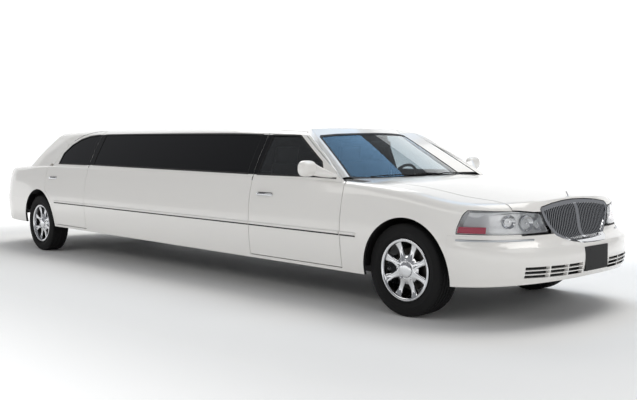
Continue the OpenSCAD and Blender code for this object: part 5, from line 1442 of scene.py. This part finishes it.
# ---- wipers ----
def wiper(y0, y1, name):
    """Blade lying low on the windshield."""
    y = np.linspace(y0, y1, 30)
    z = 1004 + 10 * np.sin(np.pi * (y - y0) / (y1 - y0))
    blade = swept(name, raised(np.stack([screen_x(y, z) + 9, y, z], 1)), oval(7, 9, 10), up=(1, 0, 1))
    return blade


for k, (y0, y1) in enumerate(((-560, -40), (40, 600))):
    dressed(wiper(y0, y1, f"wiper_{k + 1}"), BLACK_PLASTIC)


# ---- finishes of the frame's own nodes that stay ----
FINISHES = {
    UNDERBODY: ["chassis_frame", "fuel_tank", "wheelhouse_liners"],
    CARPET: ["floor_pan"],
    BLACK_PLASTIC: ["cowl_panel", "plate_bracket", "partition", "radiator"],
    DASH: ["dashboard"],
    LEATHER: ["steering_wheel"],
    WOOD: ["bar_cabinet"],
    BRUSHED: ["engine_block", "rear_axle", "front_suspension", "driveshaft", "knuckle_right", "knuckle_left", "hinge_brackets"],
    ALUMINIUM: ["exhaust_system"],
}
for mat, names in FINISHES.items():
    for n in names:
        mesh = frame["nodes"][n].data
        mesh.materials.clear()
        mesh.materials.append(mat)


# ---- studio ----
def floor():
    """Studio floor that turns up into a back wall in one sweep."""
    u = np.linspace(0, 1, 60)
    d = np.array([-0.732, 0.6785])
    along_d = -30 + 60 * u
    rise = np.clip(along_d - 17, 0, None)**2 * 0.16
    w = np.array([-40, 40.0])
    side = np.array([-d[1], d[0]])
    pts = np.stack([along_d[:, None] * d[0] + w[None, :] * side[0], along_d[:, None] * d[1] + w[None, :] * side[1],
                    rise[:, None] + 0 * w[None, :]], -1) * 1000
    obj = mesh_object("studio_floor", pts, grid_faces(len(u), 2))
    obj.data.shade_smooth()
    mat, tree, shader = surface("pale_studio_floor", "#F9F9F8", Roughness=0.85)
    shader.inputs["Specular IOR Level"].default_value = 0.1
    grain(tree, shader, 30.0, 0.02, 0.001)
    # painted light: the floor glows like a light table, from some way off the car outwards and more the farther off;
    # near the car it has no glow
    where = node(tree, "TexCoord")
    size = node(tree, "VectorMath", {0: where.outputs["Object"]}, operation="ABSOLUTE")
    beyond = node(tree, "VectorMath", {0: size.outputs[0]}, operation="SUBTRACT")
    beyond.inputs[1].default_value = (3.9, 0.7, 0)
    outside = node(tree, "VectorMath", {0: beyond.outputs[0]}, operation="MAXIMUM")
    far = node(tree, "VectorMath", {0: outside.outputs[0]}, operation="LENGTH")
    glow = node(tree, "MapRange", {"Value": far.outputs["Value"]}, interpolation_type="SMOOTHSTEP")
    for key, value in (("From Min", 1.3), ("From Max", 4.8), ("To Min", 0.0), ("To Max", 0.72)):
        glow.inputs[key].default_value = value
    shader.inputs["Emission Color"].default_value = (1, 1, 1, 1)
    tree.links.new(glow.outputs["Result"], shader.inputs["Emission Strength"])
    obj.data.materials.append(mat)
    return obj


floor()


def lamp(name, location, target, size, power, colour=(1, 1, 1)):
    data = bpy.data.lights.new(name, "AREA")
    data.shape = "RECTANGLE"
    data.size, data.size_y = size
    data.energy = power
    data.color = colour
    obj = bpy.data.objects.new(name, data)
    bpy.context.scene.collection.objects.link(obj)
    obj.location = location
    way = np.array(target, float) - np.array(location, float)
    way /= np.linalg.norm(way)
    right = np.cross(way, [0, 0, 1.0001])
    right /= np.linalg.norm(right)
    up = np.cross(right, way)
    obj.rotation_euler = Matrix(np.stack([right, up, -way], 1).tolist()).to_euler()
    return obj


lamp("rear_softbox", (-3.5, 2.0, 6.6), (-3.5, 0.6, 0), (5.2, 4.0), 225, (1.0, 0.985, 0.955))
lamp("front_softbox", (4.5, 1.9, 6.5), (3.6, 0.3, 0), (4.2, 4.0), 185, (1.0, 0.985, 0.955))
lamp("sky_panel", (1.0, 2.7, 6.5), (1.0, 2.6, 0), (2.5, 3.0), 44, (0.28, 0.58, 0.96))
lamp("nose_softbox", (11.0, -2.4, 3.4), (3.6, 0.0, 0.7), (7.0, 4.0), 120, (1.0, 0.99, 0.97))
lamp("side_softbox", (-1.0, -9.4, 5.6), (0.0, -0.8, 0.8), (12.0, 2.6), 175, (1.0, 0.985, 0.95))

bpy.context.scene.view_settings.view_transform = "Standard"
world = bpy.data.worlds.new("studio_air")
bpy.context.scene.world = world
world.use_nodes = True
world.node_tree.nodes["Background"].inputs["Color"].default_value = (0.93, 0.95, 1.0, 1)
world.node_tree.nodes["Background"].inputs["Strength"].default_value = 0.28

cam_data = bpy.data.cameras.new("camera")
cam_data.lens, cam_data.sensor_width = 47.27, 36.0
cam_data.clip_end = 200
cam = bpy.data.objects.new("camera", cam_data)
bpy.context.scene.collection.objects.link(cam)
bpy.context.scene.camera = cam
yaw, roll = math.radians(137.173), math.radians(-0.642)
forward = np.array([-0.7320, 0.6785, -0.0617])
forward /= np.linalg.norm(forward)
level = np.array([math.sin(yaw), -math.cos(yaw), 0.0])
upright_dir = np.cross(level, forward)
cam_right = level * math.cos(roll) + upright_dir * math.sin(roll)
cam_up = -level * math.sin(roll) + upright_dir * math.cos(roll)
cam.location = (7.2721, -5.5050, 1.2453)
cam.rotation_euler = Matrix(np.stack([cam_right, cam_up, -forward], 1).tolist()).to_euler()

# cutters and working copies go
kept = {o.name for o in bpy.data.objects if "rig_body" in o.keys() or o.name == "studio_floor"} | set(frame["nodes"])
for o in [o for o in bpy.data.objects if o.type == "MESH" and o.name not in kept]:
    bpy.data.objects.remove(o)
